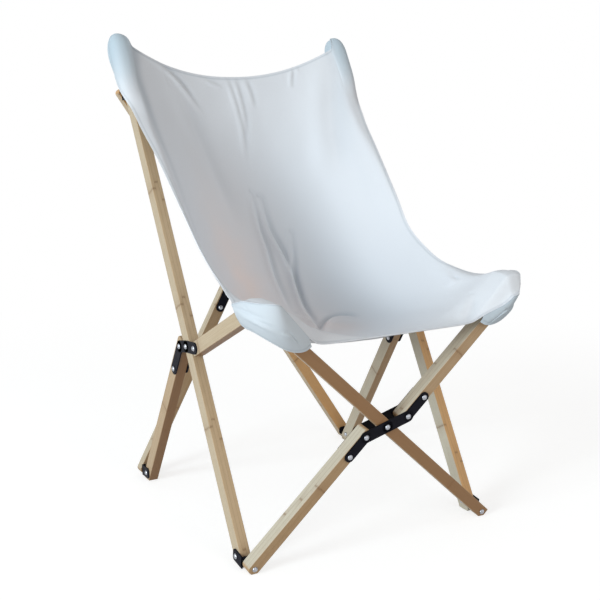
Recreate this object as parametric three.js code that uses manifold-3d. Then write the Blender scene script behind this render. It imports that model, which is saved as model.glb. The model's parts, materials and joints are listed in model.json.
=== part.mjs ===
// Folding butterfly sling chair. Millimetres, +Z up, the sitter faces -Y, +X is the viewer's right.
import * as THREE from "three";
import { mergeVertices } from "three/addons/utils/BufferGeometryUtils.js";
import { ConvexGeometry } from "three/addons/geometries/ConvexGeometry.js";
import Module from "manifold-3d";

const wasm = await Module();
wasm.setup();
const rad = THREE.MathUtils.degToRad;

// Side frames
const HALF_WIDTH = 245; // mid-plane of a side frame from the middle
const SIDE_THICK = 20; // across X
const LONG_BAR_FACE = 28;
const LONG_BAR_ANGLE = 58.77; // above the floor, leaning back
const PIVOT_Y = 5.14; // long bar crosses the leg plates here
const PIVOT_Z = 345.64;
const PIVOT_TO_FOOT = 386;
const PIVOT_TO_UPPER_PIN = 523.4;
const PIVOT_TO_TIP = 636.65;
const LEG_FACE = 27.3;
const LEG_ANGLE = 58.7; // below level, running back
const LEG_OFFSET = 28.33; // leg lies beside the pivot, so that it nests when folded
const LEG_TO_FOOT_PIN = 402.5;
const LEG_START = 9.5;
const RAIL_FACE = 26.5;
const RAIL_PIN_Y = -35.74; // from the pivot
const RAIL_PIN_Z = 4.71;
const RAIL_RISE = 27.15;
const RAIL_LENGTH = 247.8; // pin to pin
const FOOT_OVERRUN = 24;
const CROSS_FOOT_END = 11; // cross bar past its foot pin
const CROSS_FOOT_ROUND = 9;
const SQUARE_ROUND = 1.5;
const BAR_END = 14; // bar past its end pin
const EDGE = 1.2; // eased edge of the wood
const FOOT_ROUND = 13;
const END_ROUND = 7;
// Front cross
const FRONT_FORWARD = 37; // mid-plane of the cross in front of the corner pins
const FRONT_FACE = 22;
const FRONT_DEPTH = 25;
const FRONT_PLATE_OFFSET = 21.76; // halves of the cranked bar beside the whole one
// Rear cross
const REAR_BACK = 36;
const REAR_FACE = 24.3;
const REAR_DEPTH = 21;
const REAR_PLATE_OFFSET = 24.6;
const REAR_PIN_OUT = 3;
// Steel
const SHEET = 2.5;
const GAP = 0.3;
const BOLT_R = 3;
const HOLE_R = 3.6;
const HEAD_R = 5;
const HEAD_H = 3.2;
const SIDE_ARM = 11.5; // half width of a side plate's arm
const CROSS_ARM = 10;
const PLATE_ROUND = 3;
const PLATE_OVERRUN = 9;
const LEG_BOLT_OFFSET = 23.5;
const LEG_BOLT_NEAR = 22.4;
const LEG_BOLT_FAR = 82.3;
const CROSS_BOLT_NEAR = 38.5;
const CROSS_BOLT_FAR = 82.5;
const CROSS_HALF_START = 25;
const SLACK_HOLE_R = 8.3; // the rear cross pivot is open, hidden under its plates
const TAB_HALF = 11;
const TAB_SHORT = 6.5; // towards the sloping side bar
const TAB_INNER = 13; // bracket tab past the side bar's mid-plane
const OPEN_GAP_FRONT = 6.4;
const OPEN_GAP_REAR = 2.2;
// Canvas
const CLOTH = 3;
const CLOTH_GAP = 0.35;
const CLOTH_ROWS = 40;
const CLOTH_COLS = 20;
const SECTORS = 5;
const WALL = 2.2;
const ROUND_STEPS = 4;
const PIN_SIDES = 8;
const HOLE_SIDES = 10;

const materials = {
  wood: () => new THREE.MeshStandardMaterial({ color: 0xc49a63 }),
  steel: () => new THREE.MeshStandardMaterial({ color: 0x1b1b1d, metalness: 0.6 }),
  bolt: () => new THREE.MeshStandardMaterial({ color: 0xb9bcc0, metalness: 0.9 }),
  cloth: () => new THREE.MeshStandardMaterial({ color: 0xe9e2d0, side: THREE.DoubleSide }),
};
const group = new THREE.Group();
group.name = "butterfly_sling_chair";

// Solids, with three.js shapes cut and joined as manifolds
function solid(geometry) {
  const g = geometry.clone();
  for (const name of ["normal", "uv", "uv1", "color"])
    if (g.getAttribute(name)) g.deleteAttribute(name);
  const m = mergeVertices(g, 1e-4);
  const made = new wasm.Manifold(
    new wasm.Mesh({
      numProp: 3,
      vertProperties: new Float32Array(m.attributes.position.array),
      triVerts: new Uint32Array(m.index.array),
    }),
  );
  return made;
}
function geometryOf(made) {
  const mesh = made.getMesh(),
    n = mesh.numProp,
    p = new Float32Array(mesh.numVert * 3);
  for (let i = 0; i < mesh.numVert; i++)
    p.set(mesh.vertProperties.subarray(i * n, i * n + 3), i * 3);
  const g = new THREE.BufferGeometry();
  g.setAttribute("position", new THREE.BufferAttribute(p, 3));
  g.setIndex(new THREE.BufferAttribute(new Uint32Array(mesh.triVerts), 1));
  g.computeVertexNormals();
  return g;
}
const solids = [];
function add(name, made, finish) {
  solids.push(made);
  const mesh = new THREE.Mesh(geometryOf(made), materials[finish]());
  mesh.name = name;
  group.add(mesh);
  return mesh;
}
const join = (list) => list.reduce((a, b) => a.add(b));

// Frames: a runs along the bar, b across its face, c through it
function sidePlane(sign, y, z, degrees) {
  const t = rad(degrees),
    c = Math.cos(t),
    s = Math.sin(t);
  return new THREE.Matrix4()
    .makeBasis(
      new THREE.Vector3(0, c, s),
      new THREE.Vector3(0, -s, c),
      new THREE.Vector3(1, 0, 0),
    )
    .setPosition(sign * HALF_WIDTH, y, z);
}
function crossPlane(origin, tilt, degrees) {
  const t = rad(tilt),
    q = rad(degrees);
  const u = new THREE.Vector3(1, 0, 0),
    v = new THREE.Vector3(0, Math.sin(t), Math.cos(t)),
    n = new THREE.Vector3(0, -Math.cos(t), Math.sin(t));
  const a = u.clone().multiplyScalar(Math.cos(q)).addScaledVector(v, Math.sin(q));
  const b = u.clone().multiplyScalar(-Math.sin(q)).addScaledVector(v, Math.cos(q));
  return new THREE.Matrix4().makeBasis(a, b, n).setPosition(origin);
}
function rounded(a0, a1, b0, b1, radii) {
  const pts = [];
  const corner = (ca, cb, r, from) => {
    if (r <= 0) return pts.push([ca, cb]);
    for (let i = 0; i <= ROUND_STEPS; i++) {
      const t = rad(from + (90 * i) / ROUND_STEPS);
      pts.push([ca + r * Math.cos(t), cb + r * Math.sin(t)]);
    }
  };
  const [r0, r1, r2, r3] = radii;
  corner(a0 + r0, b0 + r0, r0, 180);
  corner(a1 - r1, b0 + r1, r1, 270);
  corner(a1 - r2, b1 - r2, r2, 0);
  corner(a0 + r3, b1 - r3, r3, 90);
  return pts;
}
function slab(points, holes, c0, c1, edge) {
  const shape = new THREE.Shape(points.map(([a, b]) => new THREE.Vector2(a, b)));
  for (const [a, b, r] of holes) {
    const ring = [];
    for (let i = 0; i < HOLE_SIDES; i++) {
      const t = (-2 * Math.PI * i) / HOLE_SIDES;
      ring.push(new THREE.Vector2(a + r * Math.cos(t), b + r * Math.sin(t)));
    }
    shape.holes.push(new THREE.Path(ring));
  }
  const g = new THREE.ExtrudeGeometry(shape, {
    depth: c1 - c0 - 2 * edge,
    bevelEnabled: edge > 0,
    bevelThickness: edge,
    bevelSize: edge,
    bevelOffset: -edge,
    bevelSegments: 1,
    curveSegments: 1,
    steps: 1,
  });
  g.translate(0, 0, c0 + edge);
  return g;
}
const placed = (geometry, matrix) => solid(geometry.clone().applyMatrix4(matrix));
const floorBox = (() => {
  const size = 3000,
    depth = 200;
  const g = new THREE.BoxGeometry(size, size, depth);
  g.translate(0, 0, -depth / 2);
  return solid(g);
})();

// A pin along c, from c0 to c1, with domed heads outside its seats
function pinShape(a, b, c0, c1, headLow, headHigh, radius = BOLT_R) {
  const pts = [];
  const dome = HEAD_H * 0.45;
  if (headLow) pts.push([0, c0 - HEAD_H], [HEAD_R * 0.62, c0 - HEAD_H + dome * 0.35], [HEAD_R, c0 - dome], [HEAD_R, c0], [radius, c0]);
  else pts.push([0, c0], [radius, c0]);
  if (headHigh) pts.push([radius, c1], [HEAD_R, c1], [HEAD_R, c1 + dome], [HEAD_R * 0.62, c1 + HEAD_H - dome * 0.35], [0, c1 + HEAD_H]);
  else pts.push([radius, c1], [0, c1]);
  const g = new THREE.LatheGeometry(
    pts.map(([r, h]) => new THREE.Vector2(r, h)),
    PIN_SIDES,
  );
  g.rotateX(Math.PI / 2); // its axis from Y to Z
  g.translate(a, b, 0);
  return g;
}
function bar(name, frame, from, to, face, depth, radii, holes, trim) {
  const half = face / 2;
  let made = placed(
    slab(rounded(from, to, -half, half, radii), holes, -depth / 2, depth / 2, EDGE),
    frame,
  );
  if (trim) made = made.subtract(floorBox);
  add(name, made, "wood");
}
// An arm of a sheet plate between two points, running past both
function arm(p, q, half, over, c0, holes = []) {
  const dx = q[0] - p[0],
    dy = q[1] - p[1],
    len = Math.hypot(dx, dy);
  const g = slab(
    rounded(-over, len + over, -half, half, [PLATE_ROUND, PLATE_ROUND, PLATE_ROUND, PLATE_ROUND]),
    [],
    c0,
    c0 + SHEET,
    0,
  );
  g.rotateZ(Math.atan2(dy, dx));
  g.translate(p[0], p[1], 0);
  return solid(g);
}
function drilled(made, holes, c0) {
  const past = 2;
  return holes.reduce((m, [a, b, r]) => {
    const g = new THREE.CylinderGeometry(r, r, SHEET + 2 * past, HOLE_SIDES);
    g.rotateX(Math.PI / 2);
    g.translate(a, b, c0 + SHEET / 2);
    return m.subtract(solid(g));
  }, made);
}
const move = (made, matrix) => made.transform(matrix.elements.slice());

// Side frames
const legDir = [Math.cos(rad(LEG_ANGLE)), -Math.sin(rad(LEG_ANGLE))];
const legNormal = [-legDir[1], legDir[0]];
const longDir = [Math.cos(rad(LONG_BAR_ANGLE)), Math.sin(rad(LONG_BAR_ANGLE))];
const along = (p, d, s) => [p[0] + d[0] * s, p[1] + d[1] * s];
const pivot = [PIVOT_Y, PIVOT_Z];
const legBase = along(pivot, legNormal, LEG_OFFSET);
const footF = along(pivot, longDir, -PIVOT_TO_FOOT);
const upperH = along(pivot, longDir, PIVOT_TO_UPPER_PIN);
const footR = along(legBase, legDir, LEG_TO_FOOT_PIN);
const railPin = [pivot[0] + RAIL_PIN_Y, pivot[1] + RAIL_PIN_Z];
const railDir = [-Math.cos(rad(RAIL_RISE)), Math.sin(rad(RAIL_RISE))];
const railTip = along(railPin, railDir, RAIL_LENGTH);

// A cross stands in the plane through its foot pins and its top pins
const tiltOf = (foot, head) =>
  THREE.MathUtils.radToDeg(Math.atan2(head[0] - foot[0], head[1] - foot[1]));
const FRONT_TILT = tiltOf(footF, railTip);
const REAR_TILT = tiltOf(footR, upperH);

for (const [side, sign] of [
  ["left", -1],
  ["right", 1],
]) {
  const longFrame = sidePlane(sign, pivot[0], pivot[1], LONG_BAR_ANGLE);
  bar(
    "long_bar_" + side,
    longFrame,
    -PIVOT_TO_FOOT - FOOT_OVERRUN,
    PIVOT_TO_TIP,
    LONG_BAR_FACE,
    SIDE_THICK,
    [0, END_ROUND, END_ROUND, FOOT_ROUND],
    [
      [0, 0, HOLE_R],
      [-PIVOT_TO_FOOT, 0, HOLE_R],
      [PIVOT_TO_UPPER_PIN, 0, HOLE_R],
    ],
    true,
  );
  const legFrame = sidePlane(sign, legBase[0], legBase[1], -LEG_ANGLE);
  const boltAcross = LEG_BOLT_OFFSET - LEG_OFFSET;
  bar(
    "leg_" + side,
    legFrame,
    LEG_START,
    LEG_TO_FOOT_PIN + FOOT_OVERRUN,
    LEG_FACE,
    SIDE_THICK,
    [0, END_ROUND, FOOT_ROUND, END_ROUND],
    [
      [LEG_BOLT_NEAR, boltAcross, HOLE_R],
      [LEG_BOLT_FAR, boltAcross, HOLE_R],
      [LEG_TO_FOOT_PIN, 0, HOLE_R],
    ],
    true,
  );
  const railFrame = sidePlane(sign, railPin[0], railPin[1], 180 - RAIL_RISE);
  bar(
    "seat_rail_" + side,
    railFrame,
    -BAR_END,
    RAIL_LENGTH + BAR_END,
    RAIL_FACE,
    SIDE_THICK,
    [END_ROUND, END_ROUND + PLATE_ROUND, END_ROUND + PLATE_ROUND, END_ROUND],
    [
      [0, 0, HOLE_R],
      [RAIL_LENGTH, 0, HOLE_R],
    ],
    false,
  );
  // plates and their bolts, in a frame with a along +Y and b along +Z
  const flat = sidePlane(sign, 0, 0, 0);
  const boltNear = along(along(pivot, legNormal, LEG_BOLT_OFFSET), legDir, LEG_BOLT_NEAR);
  const boltFar = along(along(pivot, legNormal, LEG_BOLT_OFFSET), legDir, LEG_BOLT_FAR);
  const holes = [
    [boltNear[0], boltNear[1], HOLE_R],
    [boltFar[0], boltFar[1], HOLE_R],
    [pivot[0], pivot[1], HOLE_R],
    [railPin[0], railPin[1], HOLE_R],
  ];
  for (const [face, c0] of [
    ["outer", sign > 0 ? SIDE_THICK / 2 + GAP : -SIDE_THICK / 2 - GAP - SHEET],
    ["inner", sign > 0 ? -SIDE_THICK / 2 - GAP - SHEET : SIDE_THICK / 2 + GAP],
  ]) {
    const outline = join([
      arm(boltNear, boltFar, SIDE_ARM, PLATE_OVERRUN + SIDE_ARM / 2, c0),
      arm(boltNear, pivot, SIDE_ARM, PLATE_OVERRUN, c0),
      arm(pivot, railPin, SIDE_ARM, PLATE_OVERRUN + PLATE_ROUND, c0),
    ]);
    add("side_plate_" + side + "_" + face, move(drilled(outline, holes, c0), flat), "steel");
  }
  const seat = SIDE_THICK / 2 + GAP + SHEET + GAP;
  for (const [name, p] of [
    ["leg_bolt_upper", boltNear],
    ["leg_bolt_lower", boltFar],
    ["side_pivot", pivot],
    ["rail_pivot", railPin],
  ])
    add(name + "_" + side, placed(pinShape(p[0], p[1], -seat, seat, true, true), flat), "bolt");
}

// Crosses
function cross(label, foot, head, tilt, offset, face, depth, plateOffset, pinOut, slackHole, openTop) {
  const t = rad(tilt);
  const up = new THREE.Vector3(0, Math.sin(t), Math.cos(t));
  const normal = new THREE.Vector3(0, -Math.cos(t), Math.sin(t));
  const height = Math.hypot(head[0] - foot[0], head[1] - foot[1]);
  const middle = new THREE.Vector3(0, foot[0], foot[1])
    .addScaledVector(up, height / 2)
    .addScaledVector(normal, offset);
  const halfWidth = HALF_WIDTH + pinOut;
  const reach = Math.hypot(halfWidth, height / 2);
  const angle = THREE.MathUtils.radToDeg(Math.atan2(height / 2, halfWidth));
  const turn = THREE.MathUtils.radToDeg(Math.asin(plateOffset / reach));
  // the whole bar climbs to the left, its local a axis towards the left top
  const wholeFrame = crossPlane(middle, tilt, 180 - angle);
  bar(
    label + "_bar_whole",
    wholeFrame,
    -reach - CROSS_FOOT_END,
    reach + BAR_END,
    face,
    depth,
    [SQUARE_ROUND, END_ROUND, END_ROUND, SQUARE_ROUND],
    [
      [0, 0, slackHole],
      [-reach, 0, HOLE_R],
      [reach, 0, HOLE_R],
    ],
    true,
  );
  const crankFrame = crossPlane(middle, tilt, angle + turn);
  const far = Math.sqrt(reach * reach - plateOffset * plateOffset);
  for (const [half, sign] of [
    ["lower", -1],
    ["upper", 1],
  ]) {
    const frame = crankFrame
      .clone()
      .multiply(new THREE.Matrix4().makeTranslation(0, -sign * plateOffset, 0))
      .multiply(new THREE.Matrix4().makeRotationZ(sign > 0 ? 0 : Math.PI));
    bar(
      label + "_bar_" + half,
      frame,
      CROSS_HALF_START,
      far + (sign < 0 ? CROSS_FOOT_END : BAR_END),
      face,
      depth,
      sign < 0
        ? [END_ROUND, CROSS_FOOT_ROUND, CROSS_FOOT_ROUND, END_ROUND]
        : [END_ROUND, END_ROUND, END_ROUND, END_ROUND],
      [
        [CROSS_BOLT_NEAR, 0, HOLE_R],
        [CROSS_BOLT_FAR, 0, HOLE_R],
        [far, 0, HOLE_R],
      ],
      true,
    );
  }
  const spots = {
    bolt_low_far: [-CROSS_BOLT_FAR, plateOffset],
    bolt_low_near: [-CROSS_BOLT_NEAR, plateOffset],
    cross_pivot: [0, 0],
    bolt_high_near: [CROSS_BOLT_NEAR, -plateOffset],
    bolt_high_far: [CROSS_BOLT_FAR, -plateOffset],
  };
  const holes = Object.values(spots).map(([a, b]) => [a, b, HOLE_R]);
  for (const [faceName, c0] of [
    ["front", depth / 2 + GAP],
    ["back", -depth / 2 - GAP - SHEET],
  ]) {
    const outline = join([
      arm(spots.bolt_low_far, spots.bolt_low_near, CROSS_ARM, PLATE_OVERRUN, c0),
      arm(spots.bolt_low_near, spots.cross_pivot, CROSS_ARM, PLATE_OVERRUN, c0),
      arm(spots.cross_pivot, spots.bolt_high_near, CROSS_ARM, PLATE_OVERRUN, c0),
      arm(spots.bolt_high_near, spots.bolt_high_far, CROSS_ARM, PLATE_OVERRUN, c0),
    ]);
    add(label + "_plate_" + faceName, move(drilled(outline, holes, c0), crankFrame), "steel");
  }
  const seat = depth / 2 + GAP + SHEET + GAP;
  for (const [name, [a, b]] of Object.entries(spots))
    add(label + "_" + name, placed(pinShape(a, b, -seat, seat, true, true), crankFrame), "bolt");
  return { middle, up, normal, height, angle, reach, halfWidth, wholeFrame };
}
const front = cross("front", footF, railTip, FRONT_TILT, FRONT_FORWARD, FRONT_FACE, FRONT_DEPTH, FRONT_PLATE_OFFSET, 0, HOLE_R, true);
const rear = cross("rear", footR, upperH, REAR_TILT, -REAR_BACK, REAR_FACE, REAR_DEPTH, REAR_PLATE_OFFSET, REAR_PIN_OUT, SLACK_HOLE_R, true);

// Corner brackets: a tab on the side bar's outer face, a tab between the side bar and the cross
function bracket(name, sign, point, tilt, toward, midDistance, barDepth, pinOut, openGap, low, high) {
  // local frame: x outwards from the mid-plane, y up the cross plane, z towards the cross bar
  const t = rad(tilt);
  const v = new THREE.Vector3(0, Math.sin(t), Math.cos(t));
  const n = new THREE.Vector3(0, -Math.cos(t), Math.sin(t)).multiplyScalar(toward);
  const x = new THREE.Vector3().crossVectors(v, n);
  const frame = new THREE.Matrix4()
    .makeBasis(x, v, n)
    .setPosition(sign * HALF_WIDTH, point[0], point[1]);
  const out = Math.sign(x.x) * sign; // local x that points away from the middle
  const sideOut = SIDE_THICK / 2 + GAP;
  const near = midDistance - barDepth / 2 - (openGap || GAP) - SHEET;
  const tabA = new THREE.BoxGeometry(SHEET, 2 * TAB_HALF, near + SHEET + TAB_HALF);
  tabA.translate(out * (sideOut + SHEET / 2), 0, (near + SHEET - TAB_HALF) / 2);
  const width = sideOut + SHEET + TAB_INNER;
  const tabB = new THREE.BoxGeometry(width, high + low, SHEET);
  tabB.translate(out * (sideOut + SHEET - width / 2), (high - low) / 2, near + SHEET / 2);
  const across = new THREE.Matrix4().makeRotationY((out * Math.PI) / 2);
  const pinX = pinShape(0, 0, -sideOut, sideOut + SHEET, true, true);
  pinX.applyMatrix4(across);
  const parts = [solid(tabA), solid(tabB), solid(pinX)];
  if (!openGap) {
    const pinN = pinShape(out * pinOut, 0, near + SHEET / 2, midDistance + barDepth / 2 + GAP, false, true);
    parts.push(solid(pinN));
  }
  add(name, move(join(parts), frame), "steel");
  if (openGap === OPEN_GAP_REAR) {
    const stub = pinShape(out * pinOut, 0, midDistance - barDepth / 2 + EDGE, midDistance + barDepth / 2 + GAP, false, true);
    add(name.replace("bracket", "pin"), placed(stub, frame), "bolt");
  }
}
for (const [side, sign] of [
  ["left", -1],
  ["right", 1],
]) {
  bracket("bracket_front_foot_" + side, sign, footF, FRONT_TILT, 1, FRONT_FORWARD, FRONT_DEPTH, 0, 0, TAB_SHORT, TAB_HALF);
  bracket("bracket_front_top_" + side, sign, railTip, FRONT_TILT, 1, FRONT_FORWARD, FRONT_DEPTH, 0, OPEN_GAP_FRONT, TAB_HALF, TAB_HALF);
  bracket("bracket_rear_foot_" + side, sign, footR, REAR_TILT, -1, REAR_BACK, REAR_DEPTH, REAR_PIN_OUT, 0, TAB_SHORT, TAB_HALF);
  bracket("bracket_rear_top_" + side, sign, upperH, REAR_TILT, -1, REAR_BACK, REAR_DEPTH, REAR_PIN_OUT, OPEN_GAP_REAR, TAB_HALF, TAB_SHORT);
}

// Canvas, row by row from the top hem to the front hem
const EDGE_POINTS = [
  [262, 311, 886],
  [272, 279, 831],
  [264, 254, 789],
  [256, 212, 737],
  [247, 146, 677],
  [238, 57, 590],
  [232, 0, 536],
  [233, -55, 502],
  [236, -106, 480],
  [245, -145, 470],
  [252, -180, 468],
  [262, -205, 471],
  [268, -235, 480],
  [263, -264, 489],
  [257, -307, 485],
];
const MIDDLE_POINTS = [
  [0, 338, 826],
  [0, 318, 765],
  [0, 300, 715],
  [0, 275, 650],
  [0, 235, 565],
  [0, 170, 460],
  [0, 115, 400],
  [0, 50, 360],
  [0, -15, 345],
  [0, -75, 346],
  [0, -135, 356],
  [0, -185, 368],
  [0, -235, 384],
  [0, -275, 397],
  [0, -304, 407],
];
const smoothLine = (points) =>
  new THREE.CatmullRomCurve3(points.map((p) => new THREE.Vector3(...p)), false, "centripetal");
const edgeLine = smoothLine(EDGE_POINTS);
const middleLine = smoothLine(MIDDLE_POINTS);
const BOW_TOP = 2.2;
const BOW_SEAT = 2.6;
const HEM_START_SHARE = 0.86;
const HEM_FLAT = 165; // half width of the front hem's level middle
const HEM_BLEND = 8;
const BAND = 231; // inside faces of the side bars
const CURL = 20; // top edges wrap back beside the bars
const CURL_END_SHARE = 0.2;
const hemRise = (x) => HEM_BLEND * Math.log1p(Math.exp((x - HEM_FLAT) / HEM_BLEND));
function clothPoint(t, u) {
  const e = edgeLine.getPoint(t),
    c = middleLine.getPoint(t);
  const late = THREE.MathUtils.smoothstep(t, HEM_START_SHARE, 1);
  const band = Math.min(1, BAND / e.x);
  const power = BOW_TOP + (BOW_SEAT - BOW_TOP) * t;
  const a = Math.abs(u);
  const w =
    (1 - late) * Math.min(1, a / band) ** power +
    (late * hemRise(a * e.x)) / hemRise(e.x);
  const past = a > band && band < 1 ? (a - band) / (1 - band) : 0;
  const curl = CURL * Math.max(0, 1 - t / CURL_END_SHARE) * past * past;
  return new THREE.Vector3(e.x * u, c.y + (e.y - c.y) * w + curl, c.z + (e.z - c.z) * w);
}
function sheet(t0, t1, rows, cols) {
  const grid = [];
  const nudge = 1e-3;
  for (let i = 0; i <= rows; i++)
    for (let j = 0; j <= cols; j++) {
      const t = t0 + ((t1 - t0) * i) / rows,
        s = (2 * j) / cols - 1;
      const u = Math.sign(s) * (1 - (1 - Math.abs(s)) ** 1.35); // finer towards the edges
      const p = clothPoint(t, u);
      const ta = Math.min(t + nudge, 1),
        tb = Math.max(t - nudge, 0);
      const dt = clothPoint(ta, u).sub(clothPoint(tb, u));
      const ua = Math.min(u + nudge, 1),
        ub = Math.max(u - nudge, -1);
      const du = clothPoint(t, ua).sub(clothPoint(t, ub));
      const n = new THREE.Vector3().crossVectors(dt, du).normalize();
      grid.push([p, n]);
    }
  const pos = [],
    idx = [];
  for (const s of [1, -1])
    for (const [p, n] of grid) {
      const q = p.clone().addScaledVector(n, (s * CLOTH) / 2);
      pos.push(q.x, q.y, q.z);
    }
  const w = cols + 1,
    total = grid.length;
  const quad = (a, b, c, d) => idx.push(a, b, c, a, c, d);
  for (let i = 0; i < rows; i++)
    for (let j = 0; j < cols; j++) {
      const a = i * w + j;
      quad(a, a + w, a + w + 1, a + 1);
      quad(total + a, total + a + 1, total + a + w + 1, total + a + w);
    }
  for (let j = 0; j < cols; j++) {
    quad(j, j + 1, total + j + 1, total + j);
    const a = rows * w + j;
    quad(a, total + a, total + a + 1, a + 1);
  }
  for (let i = 0; i < rows; i++) {
    const a = i * w,
      b = i * w + cols;
    quad(a, total + a, total + a + w, a + w);
    quad(b, b + w, total + b + w, total + b);
  }
  const g = new THREE.BufferGeometry();
  g.setAttribute("position", new THREE.BufferAttribute(new Float32Array(pos), 3));
  g.setIndex(idx);
  const made = solid(g);
  if (made.volume() > 0) return made;
  for (let i = 0; i < idx.length; i += 3) [idx[i + 1], idx[i + 2]] = [idx[i + 2], idx[i + 1]];
  g.setIndex(idx);
  return solid(g);
}

// Pockets: ears over the long bars' tips, bags over the front corners
const EAR_LENGTH = 70.65; // of the long bar's tip inside its ear
const EAR_END = 15;
const EAR_HALF_FACE = 24;
const EAR_OUT = 24;
const EAR_IN = 17;
const EAR_ROUND = 20;
const LINING = 0.6;
function boxBetween(a0, a1, b0, b1, c0, c1) {
  const g = new THREE.BoxGeometry(a1 - a0, b1 - b0, c1 - c0);
  g.translate((a0 + a1) / 2, (b0 + b1) / 2, (c0 + c1) / 2);
  return g;
}
// Outline of a front bag: distance from the middle, y, z, and the way its lining is set in
const BAG = [
  [272, -236, 484, -1, 3, 3],
  [272, -262, 492, -1, 1, 3],
  [260, -312, 489, -1, 1, 3],
  [264, -206, 470, -1, 3, 3],
  [277, -279, 455, -1, 1, 1],
  [254, -291, 431, -1, 1, 1],
  [214, -305, 404, -1, 1, 1],
  [186, -305, 398, -3, 1, 0],
  [170, -305, 406, -3, 1, 1],
  [190, -309, 431, -3, 1, 3],
  [240, -312, 480, -3, 1, 3],
  [263, -244, 441, -1, 3, 1],
  [236, -206, 470, -3, 3, 3],
  [236, -244, 441, -3, 3, 0],
];
const hullOf = (rows) => solid(new ConvexGeometry(rows.map((p) => new THREE.Vector3(...p))));
const pocketSolids = {};
for (const [side, sign] of [
  ["left", -1],
  ["right", 1],
]) {
  const frame = sidePlane(sign, pivot[0], pivot[1], LONG_BAR_ANGLE);
  const tip = PIVOT_TO_TIP + EAR_END,
    mouth = PIVOT_TO_TIP - EAR_LENGTH;
  const c0 = sign > 0 ? -EAR_IN : -EAR_OUT,
    c1 = sign > 0 ? EAR_OUT : EAR_IN;
  const outer = slab(
    rounded(mouth, tip, -EAR_HALF_FACE, EAR_HALF_FACE, [0, EAR_ROUND, EAR_ROUND, 0]),
    [],
    c0,
    c1,
    EDGE,
  );
  const inner = boxBetween(
    mouth - EAR_END,
    PIVOT_TO_TIP + LINING,
    -LONG_BAR_FACE / 2 - LINING,
    LONG_BAR_FACE / 2 + LINING,
    -SIDE_THICK / 2 - LINING,
    SIDE_THICK / 2 + LINING,
  );
  pocketSolids["ear_pocket_" + side] = move(solid(outer).subtract(solid(inner)), frame);
}
function grown(made) {
  const d = CLOTH_GAP;
  const out = [];
  for (const v of [
    [d, 0, 0],
    [-d, 0, 0],
    [0, d, 0],
    [0, -d, 0],
    [0, 0, d],
    [0, 0, -d],
  ])
    out.push(made.translate(v));
  return join([made, ...out]);
}
const largest = (made) => {
  const pieces = made.decompose();
  return pieces.sort((a, b) => b.volume() - a.volume())[0];
};
for (const [name, made] of Object.entries(pocketSolids)) add(name, made, "cloth");
const apart = (a, b) => {
  const p = a.boundingBox(),
    q = b.boundingBox();
  return [0, 1, 2].some((i) => p.min[i] > q.max[i] + CLOTH_GAP || q.min[i] > p.max[i] + CLOTH_GAP);
};
const clearOf = (made, others) =>
  others.reduce((m, b) => (apart(m, b) ? m : m.subtract(grown(b))), made);
const frame = solids.slice();
const sheetGap = 4e-4;
for (let k = 0; k < SECTORS; k++) {
  const t0 = k / SECTORS + (k ? sheetGap : 0),
    t1 = (k + 1) / SECTORS - (k < SECTORS - 1 ? sheetGap : 0);
  const made = sheet(t0, t1, CLOTH_ROWS / SECTORS, CLOTH_COLS);
  add("canvas_" + (k + 1), largest(clearOf(made, frame)), "cloth");
}
const upToSheet = solids.slice();
for (const [side, sign] of [
  ["left", -1],
  ["right", 1],
]) {
  const outer = BAG.map(([x, y, z]) => [sign * x, y, z]);
  const inner = BAG.map(([x, y, z, dx, dy, dz]) => [
    sign * (x + WALL * dx),
    y + WALL * dy,
    z + WALL * dz,
  ]);
  const made = hullOf(outer).subtract(hullOf(inner));
  add("front_pocket_" + side, largest(clearOf(made, upToSheet)), "cloth");
}

// Stand it on the floor with the middle of its outline at the origin
group.updateMatrixWorld(true);
const reachBox = new THREE.Box3().setFromObject(group);
const centre = reachBox.getCenter(new THREE.Vector3());
group.position.set(-centre.x, -centre.y, -reachBox.min.z);
group.updateMatrixWorld(true);
const size = reachBox.getSize(new THREE.Vector3());
console.log("size", size.toArray().map((v) => v.toFixed(1)), "moved", group.position.toArray().map((v) => v.toFixed(3)));

export default group;
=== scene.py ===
"""Folding butterfly sling chair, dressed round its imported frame.

Bamboo bars, black sheet steel plates and corner brackets, domed bolts and a slung
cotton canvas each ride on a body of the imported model. Lengths in the settings are in
metres; the other lengths are in millimetres, as a maker would draw them.
"""
import json
import math

import bmesh
import bpy
import numpy as np
from bpy.props import FloatProperty, FloatVectorProperty, IntProperty, PointerProperty
from bpy.types import Operator, Panel, PropertyGroup
from mathutils import Matrix, Vector

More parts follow.
